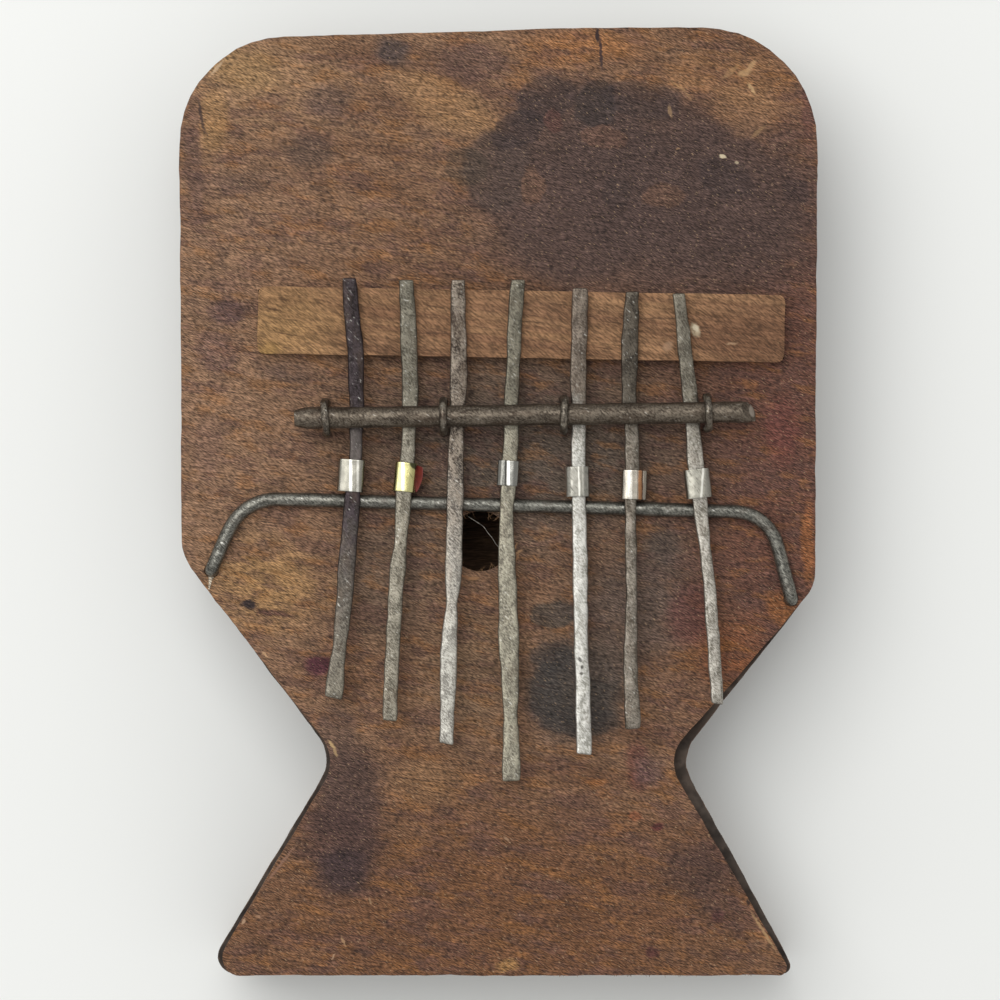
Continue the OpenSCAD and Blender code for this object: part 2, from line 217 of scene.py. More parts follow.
# a copy of a CAD board's walls, with its flat top and bottom left open
def wallsOfNode(node):
    low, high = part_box(node)
    piece = nodes[node].copy()
    piece.data = nodes[node].data.copy()
    piece.parent = None
    for key in list(piece.keys()):
        del piece[key]
    bpy.context.scene.collection.objects.link(piece)
    editAll(piece)
    bpy.ops.mesh.remove_doubles(threshold=closeness["cadWeld"] * mm)
    near = closeness["same"] * mm
    pickParts(piece, "FACE", lambda middle, normal: min(middle.z - low.z, high.z - middle.z) < near)
    bpy.ops.mesh.delete(type="FACE")
    bpy.ops.mesh.select_all(action="SELECT")
    bpy.ops.mesh.dissolve_limited(angle_limit=radians(closeness["level"]))
    editOff()
    return piece


# Materials

def hexColour(code):
    channels = [int(code[i:i + 2], 16) / 255 for i in (0, 2, 4)]
    return [c / 12.92 if c <= 0.04045 else ((c + 0.055) / 1.055) ** 2.4 for c in channels] + [1]


# gives the inputs of a node their links or values
def setInputs(tree, node, links):
    for socket, value in links.items():
        if isinstance(value, bpy.types.NodeSocket):
            tree.links.new(value, node.inputs[socket])
        else:
            node.inputs[socket].default_value = value


# adds one node with its settings, values and links
def addNode(tree, kind, links=None, **settings):
    node = tree.nodes.new("ShaderNode" + kind)
    for name, value in settings.items():
        setattr(node, name, value)
    setInputs(tree, node, links or {})
    return node


def newMaterial(name):
    material = bpy.data.materials.new(name)
    material.use_nodes = True
    tree = material.node_tree
    place = addNode(tree, "TexCoord").outputs["Object"]
    return material, tree, tree.nodes["Principled BSDF"], place


# an uneven pattern of a real size in mm, turned on the surface; its noise between the cuts fills the span
def patternOf(tree, place, size, turn=0, detail=3.0, cut=(0.3, 0.7), span=(0.0, 1.0), shift=0):
    local = addNode(tree, "Mapping", {
        "Vector": place, "Rotation": (0, 0, radians(turn)), "Location": (0, 0, shift * mm),
        "Scale": [s * mm for s in size]}, vector_type="TEXTURE")
    noise = addNode(tree, "TexNoise", {
        "Vector": local.outputs[0], "Scale": 1.0, "Detail": detail, "Roughness": 0.6})
    return addNode(tree, "MapRange", {
        "Value": noise.outputs[0], "From Min": cut[0], "From Max": cut[1], "To Min": span[0],
        "To Max": span[1]}).outputs[0]


# lays patterns over a colour, as a tint or, where that is None, as light and shade
# each is tint, size, turn, detail, cut, span, shift
def layPatterns(tree, colour, place, layers):
    for tint, *layer in layers:
        mask = patternOf(tree, place, *layer)
        links = {0: mask, 6: colour, 7: hexColour(tint)} if tint else {0: 1.0, 6: colour, 7: mask}
        colour = addNode(tree, "Mix", links, data_type="RGBA",
                         blend_type="MIX" if tint else "MULTIPLY").outputs[2]
    return colour


# lays spots of colour with a solid core; each is x, y, half width, half height, strength, colour, any turn
def laySpots(tree, colour, place, spots, core):
    for x, y, wide, tall, strength, tint, *turn in spots:
        local = addNode(tree, "Mapping", {
            "Vector": place, "Location": (x * mm, y * mm, 0), "Rotation": (0, 0, radians(sum(turn))),
            "Scale": (wide * mm, tall * mm, 1)}, vector_type="TEXTURE")
        spread = addNode(tree, "TexGradient", {"Vector": local.outputs[0]}, gradient_type="SPHERICAL")
        mask = addNode(tree, "MapRange", {
            "Value": spread.outputs["Fac"], "From Max": 1 - core, "To Max": strength},
            interpolation_type="SMOOTHSTEP")
        colour = addNode(tree, "Mix", {0: mask.outputs[0], 6: colour, 7: hexColour(tint)},
                         data_type="RGBA").outputs[2]
    return colour


# moves the place that a pattern is read from, so that its edge runs ragged
def ragged(tree, place, size, reach):
    local = addNode(tree, "Mapping", {
        "Vector": place, "Scale": (size[0] * mm, size[1] * mm, size[1] * mm)}, vector_type="TEXTURE")
    wave = addNode(tree, "TexNoise", {"Vector": local.outputs[0], "Scale": 1.0, "Detail": 4.0})
    centred = addNode(tree, "VectorMath", {0: wave.outputs["Color"], 1: (0.5, 0.5, 0.5)},
                      operation="SUBTRACT")
    moved = addNode(tree, "VectorMath", {
        0: centred.outputs[0], 1: (reach * mm, reach * mm, 0), 2: place}, operation="MULTIPLY_ADD")
    return moved.outputs[0]


# Wood: slow bands and patches of stain, crossed by grain and short raised fibres, rubbed pale at its edges
def makeWood(name, wood):
    material, tree, shader, place = newMaterial(name)
    turn = wood["grainTurn"]
    bands = patternOf(tree, place, wood["bandSize"], turn, cut=(0.36, 0.64))
    colour = addNode(tree, "Mix", {0: bands, 6: hexColour(wood["mid"]), 7: hexColour(wood["light"])},
                     data_type="RGBA").outputs[2]
    # spots of stain, from broad and soft to small and crisp
    uneven = ragged(tree, ragged(tree, place, size=(7, 5), reach=3.2), size=(1.4, 1.0), reach=1.3)
    drifting = ragged(tree, place, size=(14, 8), reach=8)
    colour = laySpots(tree, colour, drifting, wood.get("drift", []), core=0.2)
    colour = layPatterns(tree, colour, place, wood["patches"])
    colour = laySpots(tree, colour, uneven, wood.get("stains", []), core=0.4)
    colour = laySpots(tree, colour, uneven, wood.get("blots", []), core=0.78)
    colour = layPatterns(tree, colour, place, wood.get("mottle", []))
    # the lines of the grain shade whatever colour lies under them
    grain = patternOf(tree, place, wood["grainSize"], turn, cut=(0.36, 0.64))
    fibre = patternOf(tree, place, wood["fibreSize"], wood["fibreTurn"], detail=1.0, cut=(0.36, 0.64))
    for line, depth in ((grain, wood["grainDepth"]), (fibre, wood["fibreDepth"])):
        shade = addNode(tree, "MapRange", {"Value": line, "To Min": 1 - depth, "To Max": 1 + depth})
        colour = addNode(tree, "Mix", {0: 1.0, 6: colour, 7: shade.outputs[0]}, data_type="RGBA",
                         blend_type="MULTIPLY").outputs[2]
    colour = layPatterns(tree, colour, place, wood["lines"])
    chipped = ragged(tree, place, size=(0.8, 0.6), reach=0.9)
    colour = laySpots(tree, colour, chipped, wood.get("marks", []), core=0.4)
    edge = addNode(tree, "Attribute", attribute_name="worn").outputs["Fac"]
    wear = patternOf(tree, place, (5, 5, 5), detail=4.0, cut=(0.45, 0.6), span=(0.0, 0.7))
    rubbed = addNode(tree, "Math", {0: edge, 1: wear}, operation="MULTIPLY")
    colour = addNode(tree, "Mix", {0: rubbed.outputs[0], 6: colour, 7: hexColour(wood["edge"])},
                     data_type="RGBA").outputs[2]
    if "plies" in wood:
        # the sides of the sheet show its layers as dark glue lines
        height = addNode(tree, "SeparateXYZ", {0: place}).outputs["Z"]
        layer = addNode(tree, "Math", {0: height, 1: wood["plies"] * mm / 2}, operation="PINGPONG")
        glue = addNode(tree, "MapRange", {
            "Value": layer.outputs[0], "From Min": 0.36 * wood["plies"] * mm,
            "From Max": 0.5 * wood["plies"] * mm, "To Max": 0.75})
        side = addNode(tree, "MapRange", {
            "Value": height, "From Min": (wood["faceAt"] - 0.3) * mm,
            "From Max": (wood["faceAt"] - 0.7) * mm})
        line = addNode(tree, "Math", {0: glue.outputs[0], 1: side.outputs[0]}, operation="MULTIPLY")
        colour = addNode(tree, "Mix", {0: line.outputs[0], 6: colour, 7: hexColour(wood["glue"])},
                         data_type="RGBA").outputs[2]
    rough = addNode(tree, "MapRange", {
        "Value": grain, "To Min": wood["rough"] + 0.08, "To Max": wood["rough"] - 0.08})
    relief = addNode(tree, "Math", {0: grain, 1: fibre}, operation="ADD")
    bump = addNode(tree, "Bump", {
        "Height": relief.outputs[0], "Strength": 0.7, "Distance": wood["relief"] * mm})
    setInputs(tree, shader, {
        "Base Color": colour, "Roughness": rough.outputs[0], "Normal": bump.outputs[0],
        "Specular IOR Level": wood["sheen"]})
    return material


# Wrought iron: scaled and rusted in patches, with fine slanting hammer strokes and bright rubbed grains
def makeIron(name, iron):
    material, tree, shader, place = newMaterial(name)
    patch = patternOf(tree, place, iron["patchSize"], detail=4.0, cut=(0.0, 1.0))
    grit = patternOf(tree, place, iron["gritSize"], iron["gritTurn"], detail=2.0, cut=(0.0, 1.0))
    mixed = addNode(tree, "Mix", {0: 0.6, 2: patch, 3: grit}).outputs[0]
    lit = addNode(tree, "MapRange", {"Value": mixed, "From Min": 0.42, "From Max": 0.58}).outputs[0]
    colour = addNode(tree, "Mix", {0: lit, 6: hexColour(iron["dark"]), 7: hexColour(iron["light"])},
                     data_type="RGBA").outputs[2]
    if "heelDark" in iron:
        # the held end keeps its dark scale, the played end is rubbed; one changes slowly into the other
        heel = addNode(tree, "Mix", {
            0: lit, 6: hexColour(iron["heelDark"]), 7: hexColour(iron["heelLight"])}, data_type="RGBA")
        along = addNode(tree, "SeparateXYZ", {0: place}).outputs["Y"]
        wave = iron["changeWave"] * mm
        uneven = addNode(tree, "Math", {0: patch, 1: wave, 2: along}, operation="MULTIPLY_ADD")
        change = iron["changeAt"] * mm + wave / 2
        held = addNode(tree, "MapRange", {
            "Value": uneven.outputs[0], "From Min": change - iron["changeOver"] * mm,
            "From Max": change + iron["changeOver"] * mm})
        colour = addNode(tree, "Mix", {0: held.outputs[0], 6: colour, 7: heel.outputs[2]},
                         data_type="RGBA").outputs[2]
    colour = layPatterns(tree, colour, place, [
        (iron["rust"], iron["rustSize"], 0, 4.0, (0.52, 0.68), (0.0, iron["rusted"])),
        (iron["bright"], iron["nickSize"], iron["gritTurn"], 2.0, (0.65, 0.73), (0.0, iron["nicks"]))])
    spotted = ragged(tree, place, size=(0.6, 0.6), reach=0.4)
    colour = laySpots(tree, colour, spotted, iron.get("marks", []), core=0.5)
    rough = addNode(tree, "MapRange", {
        "Value": grit, "From Min": 0.35, "From Max": 0.65, "To Min": iron["rough"] + 0.1,
        "To Max": iron["rough"] - 0.1})
    bump = addNode(tree, "Bump", {"Height": mixed, "Strength": 0.8, "Distance": iron["relief"] * mm})
    setInputs(tree, shader, {
        "Base Color": colour, "Roughness": rough.outputs[0], "Normal": bump.outputs[0],
        "Metallic": iron["metal"]})
    return material


# Thin rolled sheet cut from a can: mirror-like with fine lines along the roll, scuffs and scratches
def makeSheet(name, sheet):
    material, tree, shader, place = newMaterial(name)
    scuffs = patternOf(tree, place, (1.2, 1.2, 1.2), detail=5.0, cut=(0.42, 0.66),
                       span=(0.0, sheet["scuffed"]))
    lines = patternOf(tree, place, (0.16, 6, 0.16), cut=(0.0, 1.0))
    scratch = patternOf(tree, place, (0.16, 2.0, 0.3), turn=38, detail=2.0, cut=(0.56, 0.64),
                        span=(0.0, sheet["scratched"]))
    worn = addNode(tree, "Math", {0: scuffs, 1: scratch}, operation="MAXIMUM").outputs[0]
    colour = addNode(tree, "Mix", {0: worn, 6: hexColour(sheet["clean"]), 7: hexColour(sheet["dull"])},
                     data_type="RGBA").outputs[2]
    # the marks paint highlight and shade bands onto the curved sheet, besides any print
    banded = ragged(tree, place, size=(0.5, 1.6), reach=0.3)
    colour = laySpots(tree, colour, banded, sheet.get("marks", []), core=0.5)
    rough = addNode(tree, "Math", {0: worn, 1: 0.25, 2: sheet["rough"]}, operation="MULTIPLY_ADD")
    height = addNode(tree, "Math", {0: worn, 1: -0.6, 2: lines}, operation="MULTIPLY_ADD")
    bump = addNode(tree, "Bump", {"Height": height.outputs[0], "Strength": 0.35, "Distance": 0.03 * mm})
    setInputs(tree, shader, {
        "Base Color": colour, "Roughness": rough.outputs[0], "Normal": bump.outputs[0],
        "Metallic": sheet["metal"]})
    return material


# Box: soundboard, rim and back

boardWood = {
    "mid": "694c38", "light": "7c5e47", "edge": "8a6a4c", "glue": "2c2019", "grainTurn": -8,
    "grainSize": (4.5, 0.26, 2), "grainDepth": 0.33, "bandSize": (34, 5, 9),
    # the fibres are drawn coarser than real ones, to show
    "fibreTurn": -30, "fibreSize": (1.15, 0.2, 0.5), "fibreDepth": 0.62,
    "rough": 0.66, "sheen": 0.2, "relief": 0.06, "plies": 1.35, "faceAt": 32,
    # small patches that the stain left uneven
    "patches": [
        ("5a4039", (9, 3.6, 6), -8, 4.0, (0.5, 0.6), (0, 0.5), 40),
        ("85592f", (8, 3, 6), -12, 4.0, (0.52, 0.62), (0, 0.4), 80),
        ("4c3a34", (4, 2, 6), -15, 4.0, (0.54, 0.64), (0, 0.4), 120),
    ],
    # uneven take-up of the stain, as light and shade
    "mottle": [
        (None, (7, 2.8, 6), -10, 5.0, (0.32, 0.68), (0.84, 1.16), 60),
        (None, (2.4, 1.1, 3), -14, 3.0, (0.3, 0.7), (0.88, 1.12), 30),
    ],
    # dark pores along the grain, and raised fibre tips that catch the light
    "lines": [
        ("3b2b25", (6, 0.28, 1), -9, 2.0, (0.6, 0.67), (0, 0.75), 9),
        ("b99a78", (0.9, 0.26, 1), -38, 1.0, (0.66, 0.74), (0, 0.6), 5),
    ],
    # broad drift of colour: tan on the left, grey in the middle, red-brown on the right, brown at the tail
    "drift": [
        (-54, 20, 34, 110, 0.9, "84664f"), (60, 8, 40, 110, 0.95, "5c3d32"),
        (0, -88, 84, 48, 0.95, "67462f"), (6, 10, 52, 30, 0.9, "554b42", -3),
        # painted shadow: the grey patch at x -22, y -14 is the soft shadow of the first two tines
        (-22, -14, 18, 20, 0.6, "5f5145"), (-6, -34, 14, 22, 0.6, "78614b"),
        (-47, 84, 24, 16, 0.7, "8f7053", -12), (17, 91, 18, 6, 0.85, "8c603c"),
        (48, 84, 16, 9, 0.8, "856040", -15), (22, -26, 17, 20, 0.75, "594a40"),
        (47, -31, 11, 11, 0.8, "7a4b2e"), (-46, -16, 18, 14, 0.9, "93714b"),
        (32, -14, 13, 13, 0.6, "4c433c"), (44, -76, 12, 14, 0.7, "4f3930", 20),
    ],
    "stains": [
        # head: tan where it is worn, the brown of the dark stain, and painted shade along its edges
        (-52, 87, 12, 6, 0.6, "9a7a52", -15), (-57, 76, 4, 9, 0.6, "97744c"),
        (-10, 79, 18, 6, 0.6, "95724e", -33), (-21.3, 90, 5.2, 3.6, 0.8, "463d3b", -20),
        (-34, 80, 7, 5, 0.6, "5f4c43"), (-6, 88, 9, 5, 0.6, "57423d"),
        (-38, 70, 7, 5, 0.65, "51423a"), (26, 58, 44, 28, 0.85, "57433b", -6),
        (42, 60, 35, 25, 0.85, "493934", -12), (49, 79, 9, 7, 0.5, "886649", -30),
        # painted shade: the thin dark strips at x -61 and x 62 run along the head's left and right edges
        (38, 85, 8, 3, 0.5, "8a6443", -12), (-61, 66, 2.6, 14, 0.6, "55403b", 4),
        (62, 80, 2, 12, 0.6, "5a3c38"), (-50, 64, 12, 3, 0.5, "5b483e"),
        # sides
        (-54, 38, 4.5, 3.2, 0.65, "4b393b"), (-43, 26, 7, 3, 0.5, "635047"),
        (62, -8, 1.8, 11, 0.85, "825231"), (57, 14, 5, 9, 0.6, "663a34"),
        (-58, 10, 4, 9, 0.35, "6a5048"), (-56, 30, 6, 5, 0.45, "5d4645"),
        # round the front bridge
        (28, -21, 14, 12, 0.75, "5a4b42"), (38.5, -22.5, 6.5, 9, 0.65, "5b3733"),
        (15.3, -38, 13.5, 13.6, 0.95, "4b443e"), (57, -22, 4, 5.5, 0.6, "83532c", 40),
        (-36, -33, 4.4, 2.8, 0.95, "522d34"), (-50, -21, 1.9, 1.4, 0.95, "2f272a"),
        (-45, -22.4, 5.5, 0.8, 0.8, "4c322f", -6), (33, -9, 5, 5, 0.5, "46403b"),
        (28, -53, 3.6, 7, 0.6, "5c3330"), (-32.5, -46.5, 5, 8, 0.6, "59463d"),
        # tail: the dark smear below the left of the waist, darker patches on the right, tan at the bottom
        (-30, -58, 10, 14, 0.85, "4a3934"), (-31, -67, 12, 9, 0.85, "4b3732", 10),
        (-31, -74, 8, 7, 0.9, "3c2e2e", 10), (39, -74, 8, 9, 0.75, "4a362e", 25),
        (30, -54, 4, 4.5, 0.6, "5f4a47"), (16, -62, 9, 5, 0.5, "5c4236"),
        (19, -56, 3, 1.1, 0.7, "8c5b33"), (27, -63, 2, 1.3, 0.6, "824c33"),
        (2, -93, 3, 1.6, 0.8, "8f6b42"), (-14, -56, 10, 6, 0.5, "7f5f41"),
        (32, -65, 2, 1.3, 0.9, "532b29"), (31, -90, 1.9, 1.4, 0.8, "4c2c2b"),
        (44, -83, 2.2, 1.7, 0.8, "4c302f"),
    ],
    # dark stain with a clearer edge: the arch in the head, and the oval under the fifth tine
    "blots": [
        (15, 64, 19, 23, 0.75, "4a3a35"), (28, 66, 20, 18, 0.5, "493934"),
        (0, 66, 8, 9, 0.75, "4b3d37"), (9.5, 80.5, 7, 5, 0.6, "382e2d", 25),
        (4, 74.5, 6, 4, 0.6, "382e2d", 20), (19.5, 79.5, 5, 6, 0.65, "322c2b"),
        (29, 80.5, 8.5, 4.6, 0.55, "3a302f", -6), (45.5, 64.5, 6.5, 4.4, 0.55, "3b302e", -20),
        (23.5, 61.5, 3, 4, 0.5, "3a2f2c"), (59.5, 61.5, 3, 3, 0.5, "3b2f2d"),
        (-6.4, 67, 5, 4.4, 0.45, "40382f"), (21, 72.7, 5.5, 2.2, 0.5, "65493b", -4),
        (7, 63, 2.8, 4.2, 0.6, "644939"), (33, 61, 5, 3, 0.4, "6c4e3b"),
        (11, 76, 2.2, 2.6, 0.5, "5c3c35"), (15.3, -38.2, 10, 10, 0.5, "443d38"),
        (11, -31.4, 4.8, 3.6, 0.55, "3b3735"), (9.4, -38, 3.6, 6, 0.4, "3d3937"),
        (16.5, -44, 9, 3.6, 0.65, "393431"), (10.8, -22.7, 4.6, 3.2, 0.7, "433f39"),
        (21.5, -32.5, 4.2, 4.4, 0.55, "594b41"),
    ],
    "marks": [
        # crack from the head, a painted shade line where the left edge rounds over, pale chips
        (19.8, 93.2, 0.6, 2.2, 0.95, "2a2022", 4), (20.5, 89.6, 0.4, 4.6, 0.9, "33282a", 3),
        (-59.5, 77.3, 0.45, 4.8, 0.75, "33292a", 9), (-58.6, 74, 0.35, 1.6, 0.6, "3a2f2e", 25),
        (50.6, 87.2, 1.9, 0.7, 0.45, "c4a074", 48), (49.2, 85.7, 1.8, 1.0, 0.5, "c4a074", 15),
        (50.6, 82.6, 1.8, 0.5, 0.55, "cba97c", -58), (44.8, 69, 0.9, 0.5, 0.8, "d6c6a6", -15),
        (46.5, 86, 3, 0.7, 0.3, "b08c60", 40), (47.6, 67.8, 0.6, 0.4, 0.55, "c8b698"),
        (34.3, 78, 0.5, 1.8, 0.45, "b08f6a", 12), (38, 81, 1.4, 0.3, 0.4, "a88560", -50),
        (36, 70.6, 0.6, 0.35, 0.5, "a88560"), (36, 83, 2.6, 0.35, 0.35, "b08c60", -35),
        (52, 74, 2.4, 0.5, 0.35, "a98860", 40), (-33.3, -48.7, 1.6, 0.5, 0.7, "c8a878", -50),
        (-32.6, -50.2, 1.1, 0.4, 0.6, "b99a70", -62), (-46.7, -30.7, 1.1, 0.4, 0.7, "c09a74", -50),
        (-56.3, 86.7, 2.6, 0.45, 0.7, "c2a585", 50), (-51, -84, 0.9, 0.45, 0.7, "b8977a", 60),
        (-48, -83, 0.6, 0.4, 0.6, "b08a6c", -20), (-25.6, -80, 1.2, 0.3, 0.5, "a98a6a", -70),
        (1.6, -67.5, 1, 0.4, 0.6, "a8876a", -50), (-33, -91, 0.9, 0.3, 0.6, "b8977a", 70),
        (-31, -88, 1.6, 0.35, 0.6, "b08d68", -70),
        # pale chipped edge below the nick in the right side of the tail, and the rubbed left edge
        (50, -80.2, 0.5, 0.9, 0.9, "241c1a", 20), (53, -86, 6, 0.4, 0.7, "ab8a63", -58),
        (-43.5, -72.5, 7, 0.35, 0.5, "93705e", 52),
        # torn pale wood at the edge of the sound hole
        (-6.6, -15.1, 1.4, 0.4, 0.8, "94694a", -20), (-5, -15.4, 1.5, 0.5, 0.8, "9a7350", 8),
        (3.4, -9, 1.1, 0.35, 0.75, "ab8460", 60), (4.1, -10, 1.1, 0.35, 0.75, "b08a64", 35),
        (3.8, -11, 1, 0.35, 0.7, "a57c58", 72), (0.2, -2.2, 0.9, 0.3, 0.7, "a88a6a", -30),
    ],
}
rimWood = {
    "mid": "38322d", "light": "4a4038", "edge": "5f4c3f", "grainTurn": 0,
    "grainSize": (9, 9, 0.5), "grainDepth": 0.25, "bandSize": (40, 40, 5),
    "fibreTurn": 0, "fibreSize": (2.5, 2.5, 0.25), "fibreDepth": 0.3,
    "rough": 0.66, "sheen": 0.2, "relief": 0.08,
    "patches": [("2a201c", (14, 14, 7), 0, 4.0, (0.5, 0.62), (0, 0.5))],
    "lines": [("241d1b", (3, 3, 0.25), 0, 2.0, (0.6, 0.7), (0, 0.5), 9),
              ("7a6653", (1.2, 1.2, 0.3), 0, 2.0, (0.68, 0.78), (0, 0.4), 5)],
}
backWood = dict(
    rimWood, mid="5a4436", light="74593f", edge="7d6049", grainSize=(8, 0.5, 2), fibreSize=(2, 0.25, 0.6),
    bandSize=(40, 7, 9), plies=1.35, faceAt=40, glue="2c2019",
    patches=[("453329", (16, 9, 9), 0, 4.0, (0.5, 0.62), (0, 0.5))],
    lines=[("3c2d26", (4, 0.25, 1), 0, 2.0, (0.6, 0.7), (0, 0.5), 9)])
boxSettings = {
    "sharp": 40,         # an edge sharper than this is worn round, degrees
    "longest": 2.5,      # outline edges are split to this length
    # size, depth and direction of the hand-sawn edge's waves
    "dents": [(7, 0.5, "X"), (7.7, 0.5, "Y"), (1.6, 0.22, "X"), (1.76, 0.22, "Y")],
    "edge": 0.5, "edgeSteps": 3, "steepest": 0.1, "flattest": 0.98,
}


def splitOutline(piece):
    left = 1
    while left:
        editOn(piece)
        bpy.ops.mesh.select_mode(type="EDGE")
        bpy.ops.mesh.select_all(action="DESELECT")
        bpy.ops.mesh.select_non_manifold(use_wire=False, use_multi_face=False, use_non_contiguous=False,
                                         use_verts=False)
        editOff()
        points = piece.data.vertices
        left = 0
        for edge in piece.data.edges:
            run = points[edge.vertices[0]].co - points[edge.vertices[1]].co
            edge.select = edge.select and run.length > boxSettings["longest"] * mm
            left += edge.select
        if left:
            bpy.ops.object.mode_set(mode="EDIT")
            bpy.ops.mesh.subdivide(number_cuts=1)
            editOff()


# closes the top and bottom over the finished outline; closed any earlier, its waves would fold them
def closeBoard(piece, heights):
    near = closeness["same"] * mm
    editOn(piece)
    for height in heights:
        pickParts(piece, "EDGE", lambda middle, run: max(abs(middle.z - height), abs(run.z)) < near)
        bpy.ops.mesh.fill(use_beauty=True)
        bpy.ops.mesh.dissolve_limited(angle_limit=radians(closeness["level"]))
    tidyNormals(piece)


def makeBoard(node, name, material):
    settings = boxSettings
    piece = wallsOfNode(node)
    piece.name = name
    splitOutline(piece)
    addDents(piece, settings)
    closeBoard(piece, [corner.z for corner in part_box(node)])
    dress(piece, name, material)
    roundEdges(piece, settings, harden_normals=True)
    markWorn(piece, settings)
    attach(piece, "box")
    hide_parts(node)


makeBoard("soundboard", "soundboardPanel", makeWood("stained plywood, worn by hands", boardWood))
makeBoard("body_frame", "boxRim", makeWood("dark stained rim wood, sawn", rimWood))
makeBoard("back_board", "backPanel", makeWood("stained back plywood, scuffed", backWood))
print("box boards made")


# Torn fibres round the sound hole and along the tail, and the splinter at the rod's left end

fibreSettings = {
    "thick": 0.08, "point": 0.2, "sides": 5, "bendFrom": 0.3, "bendOver": 0.12, "tilt": (-0.2, 0.3),
    "seed": 5, "holeMiddle": (-3.7, -8.0), "holeRadius": 6.15, "holeCount": 34, "holeDepth": (0.3, 1.6),
    "holeTurn": 0.7, "holeLength": (0.4, 1.9), "tailFrom": (12, -94.5), "tailTo": (51, -94.4),
    "tailCount": 46, "tailDepth": (0.4, 1.2), "tailTurn": 0.9, "tailLength": (0.4, 0.9),
}
fibreWood = dict(
    boardWood, mid="6b4f3a", light="967553", patches=[], drift=[], stains=[], blots=[], marks=[])
del fibreWood["plies"]


def makeFibres(settings):
    chance = random.Random(settings["seed"])
    thick = settings["thick"] * mm
    # one fibre of a millimetre, bent over near its point, is copied to every place
    bpy.ops.mesh.primitive_cone_add(
        vertices=settings["sides"], radius1=thick, radius2=thick * settings["point"], depth=1 * mm,
        location=(0, 0, 0.5 * mm))
    fibre = startPiece("fibre")
    editAll(fibre)
    bpy.ops.mesh.subdivide(number_cuts=1)
    pickParts(fibre, "VERT", lambda at, normal: at.z > settings["bendFrom"] * mm)
    bpy.ops.transform.translate(value=(settings["bendOver"] * mm, 0, 0))
    editOff()

    def spread(key):
        return chance.uniform(-settings[key], settings[key])

    def between(key):
        return chance.uniform(*settings[key])

    starts = []
    middle, first, last = (Vector((*settings[key], 0)) * mm for key in ("holeMiddle", "tailFrom", "tailTo"))
    radius = settings["holeRadius"] * mm
    for _ in range(settings["holeCount"]):
        angle = chance.uniform(0, 2 * pi)
        height = cadHeight["deck"] - between("holeDepth") * mm
        start = middle + Vector((cos(angle) * radius, sin(angle) * radius, height))
        starts.append((start, angle + pi + spread("holeTurn"), between("holeLength")))
    for _ in range(settings["tailCount"]):
        start = first.lerp(last, chance.uniform(0, 1))
        start.z = cadHeight["deck"] - between("tailDepth") * mm
        starts.append((start, -pi / 2 + spread("tailTurn"), between("tailLength")))
    for start, heading, length in starts:
        copied = fibre.copy()
        copied.data = fibre.data.copy()
        bpy.context.scene.collection.objects.link(copied)
        copied.location = start
        copied.rotation_euler = (0, pi / 2 - between("tilt"), heading)
        copied.scale = (1, 1, length)
        copied.select_set(True)
    fibre.select_set(True)
    fibre.location = starts[0][0]
    bpy.context.view_layer.objects.active = fibre
    bpy.ops.object.join()
    fibres = dress(bpy.context.object, "tornFibres", makeWood("torn plywood fibres", fibreWood))
    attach(fibres, "box")


strayFibre = {
    "thick": 0.055, "sides": 6,
    "route": [(-6.6, -2.6, 31.3), (-4.4, -4.1, 31.6), (-2.9, -4.9, 31.5), (-2.2, -6.3, 31.2),
              (-1.2, -7.2, 31.0), (-0.6, -8.6, 31.2), (0.8, -9.8, 31.4), (2.6, -10.6, 31.3)],
    "wood": dict(fibreWood, mid="8f8b82", light="a8a49b"),
}
splinter = {
    "from": (-57.4, -14.6, 32.2), "to": (-57.9, -17.6, 32.25), "thick": 0.55, "point": 0.12, "sides": 7,
    "flat": 0.6, "cuts": 4, "dents": [(0.7, 0.3)], "wood": dict(fibreWood, mid="b0a18c", light="d2c6b2"),
}


def makeStrayFibre(settings):
    route = [Vector(point) * mm for point in settings["route"]]
    facing = (route[1] - route[0]).to_track_quat("Z", "Y").to_euler()
    piece = startRound("strayFibre", settings["sides"], settings["thick"] * mm, route[0], facing)
    carryAlong([("straight", after - before) for before, after in zip(route, route[1:])])
    tidyNormals(piece)
    smoothOut(piece, levels=2)
    dress(piece, "strayFibre", makeWood("stray pale fibre", settings["wood"]),
          smooth=60)
    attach(piece, "box")


def makeSplinter(settings):
    start, end = (Vector(settings[key]) * mm for key in ("from", "to"))
    run = end - start
    bpy.ops.mesh.primitive_cone_add(
        vertices=settings["sides"], radius1=settings["thick"] * mm, radius2=settings["point"] * mm,
        depth=run.length, location=(start + end) / 2, rotation=run.to_track_quat("Z", "Y").to_euler())
    piece = startPiece("splinter")
    editAll(piece)
    bpy.ops.transform.resize(value=(1, 1, settings["flat"]), center_override=start)
    bpy.ops.mesh.subdivide(number_cuts=settings["cuts"])
    editOff()
    addDents(piece, settings)
    dress(piece, "edgeSplinter", makeWood("fresh pale split wood", settings["wood"]),
          smooth=40)
    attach(piece, "box")


makeFibres(fibreSettings)
makeStrayFibre(strayFibre)
makeSplinter(splinter)
print("torn fibres made")


# Rear bridge: a sawn strip of pale wood

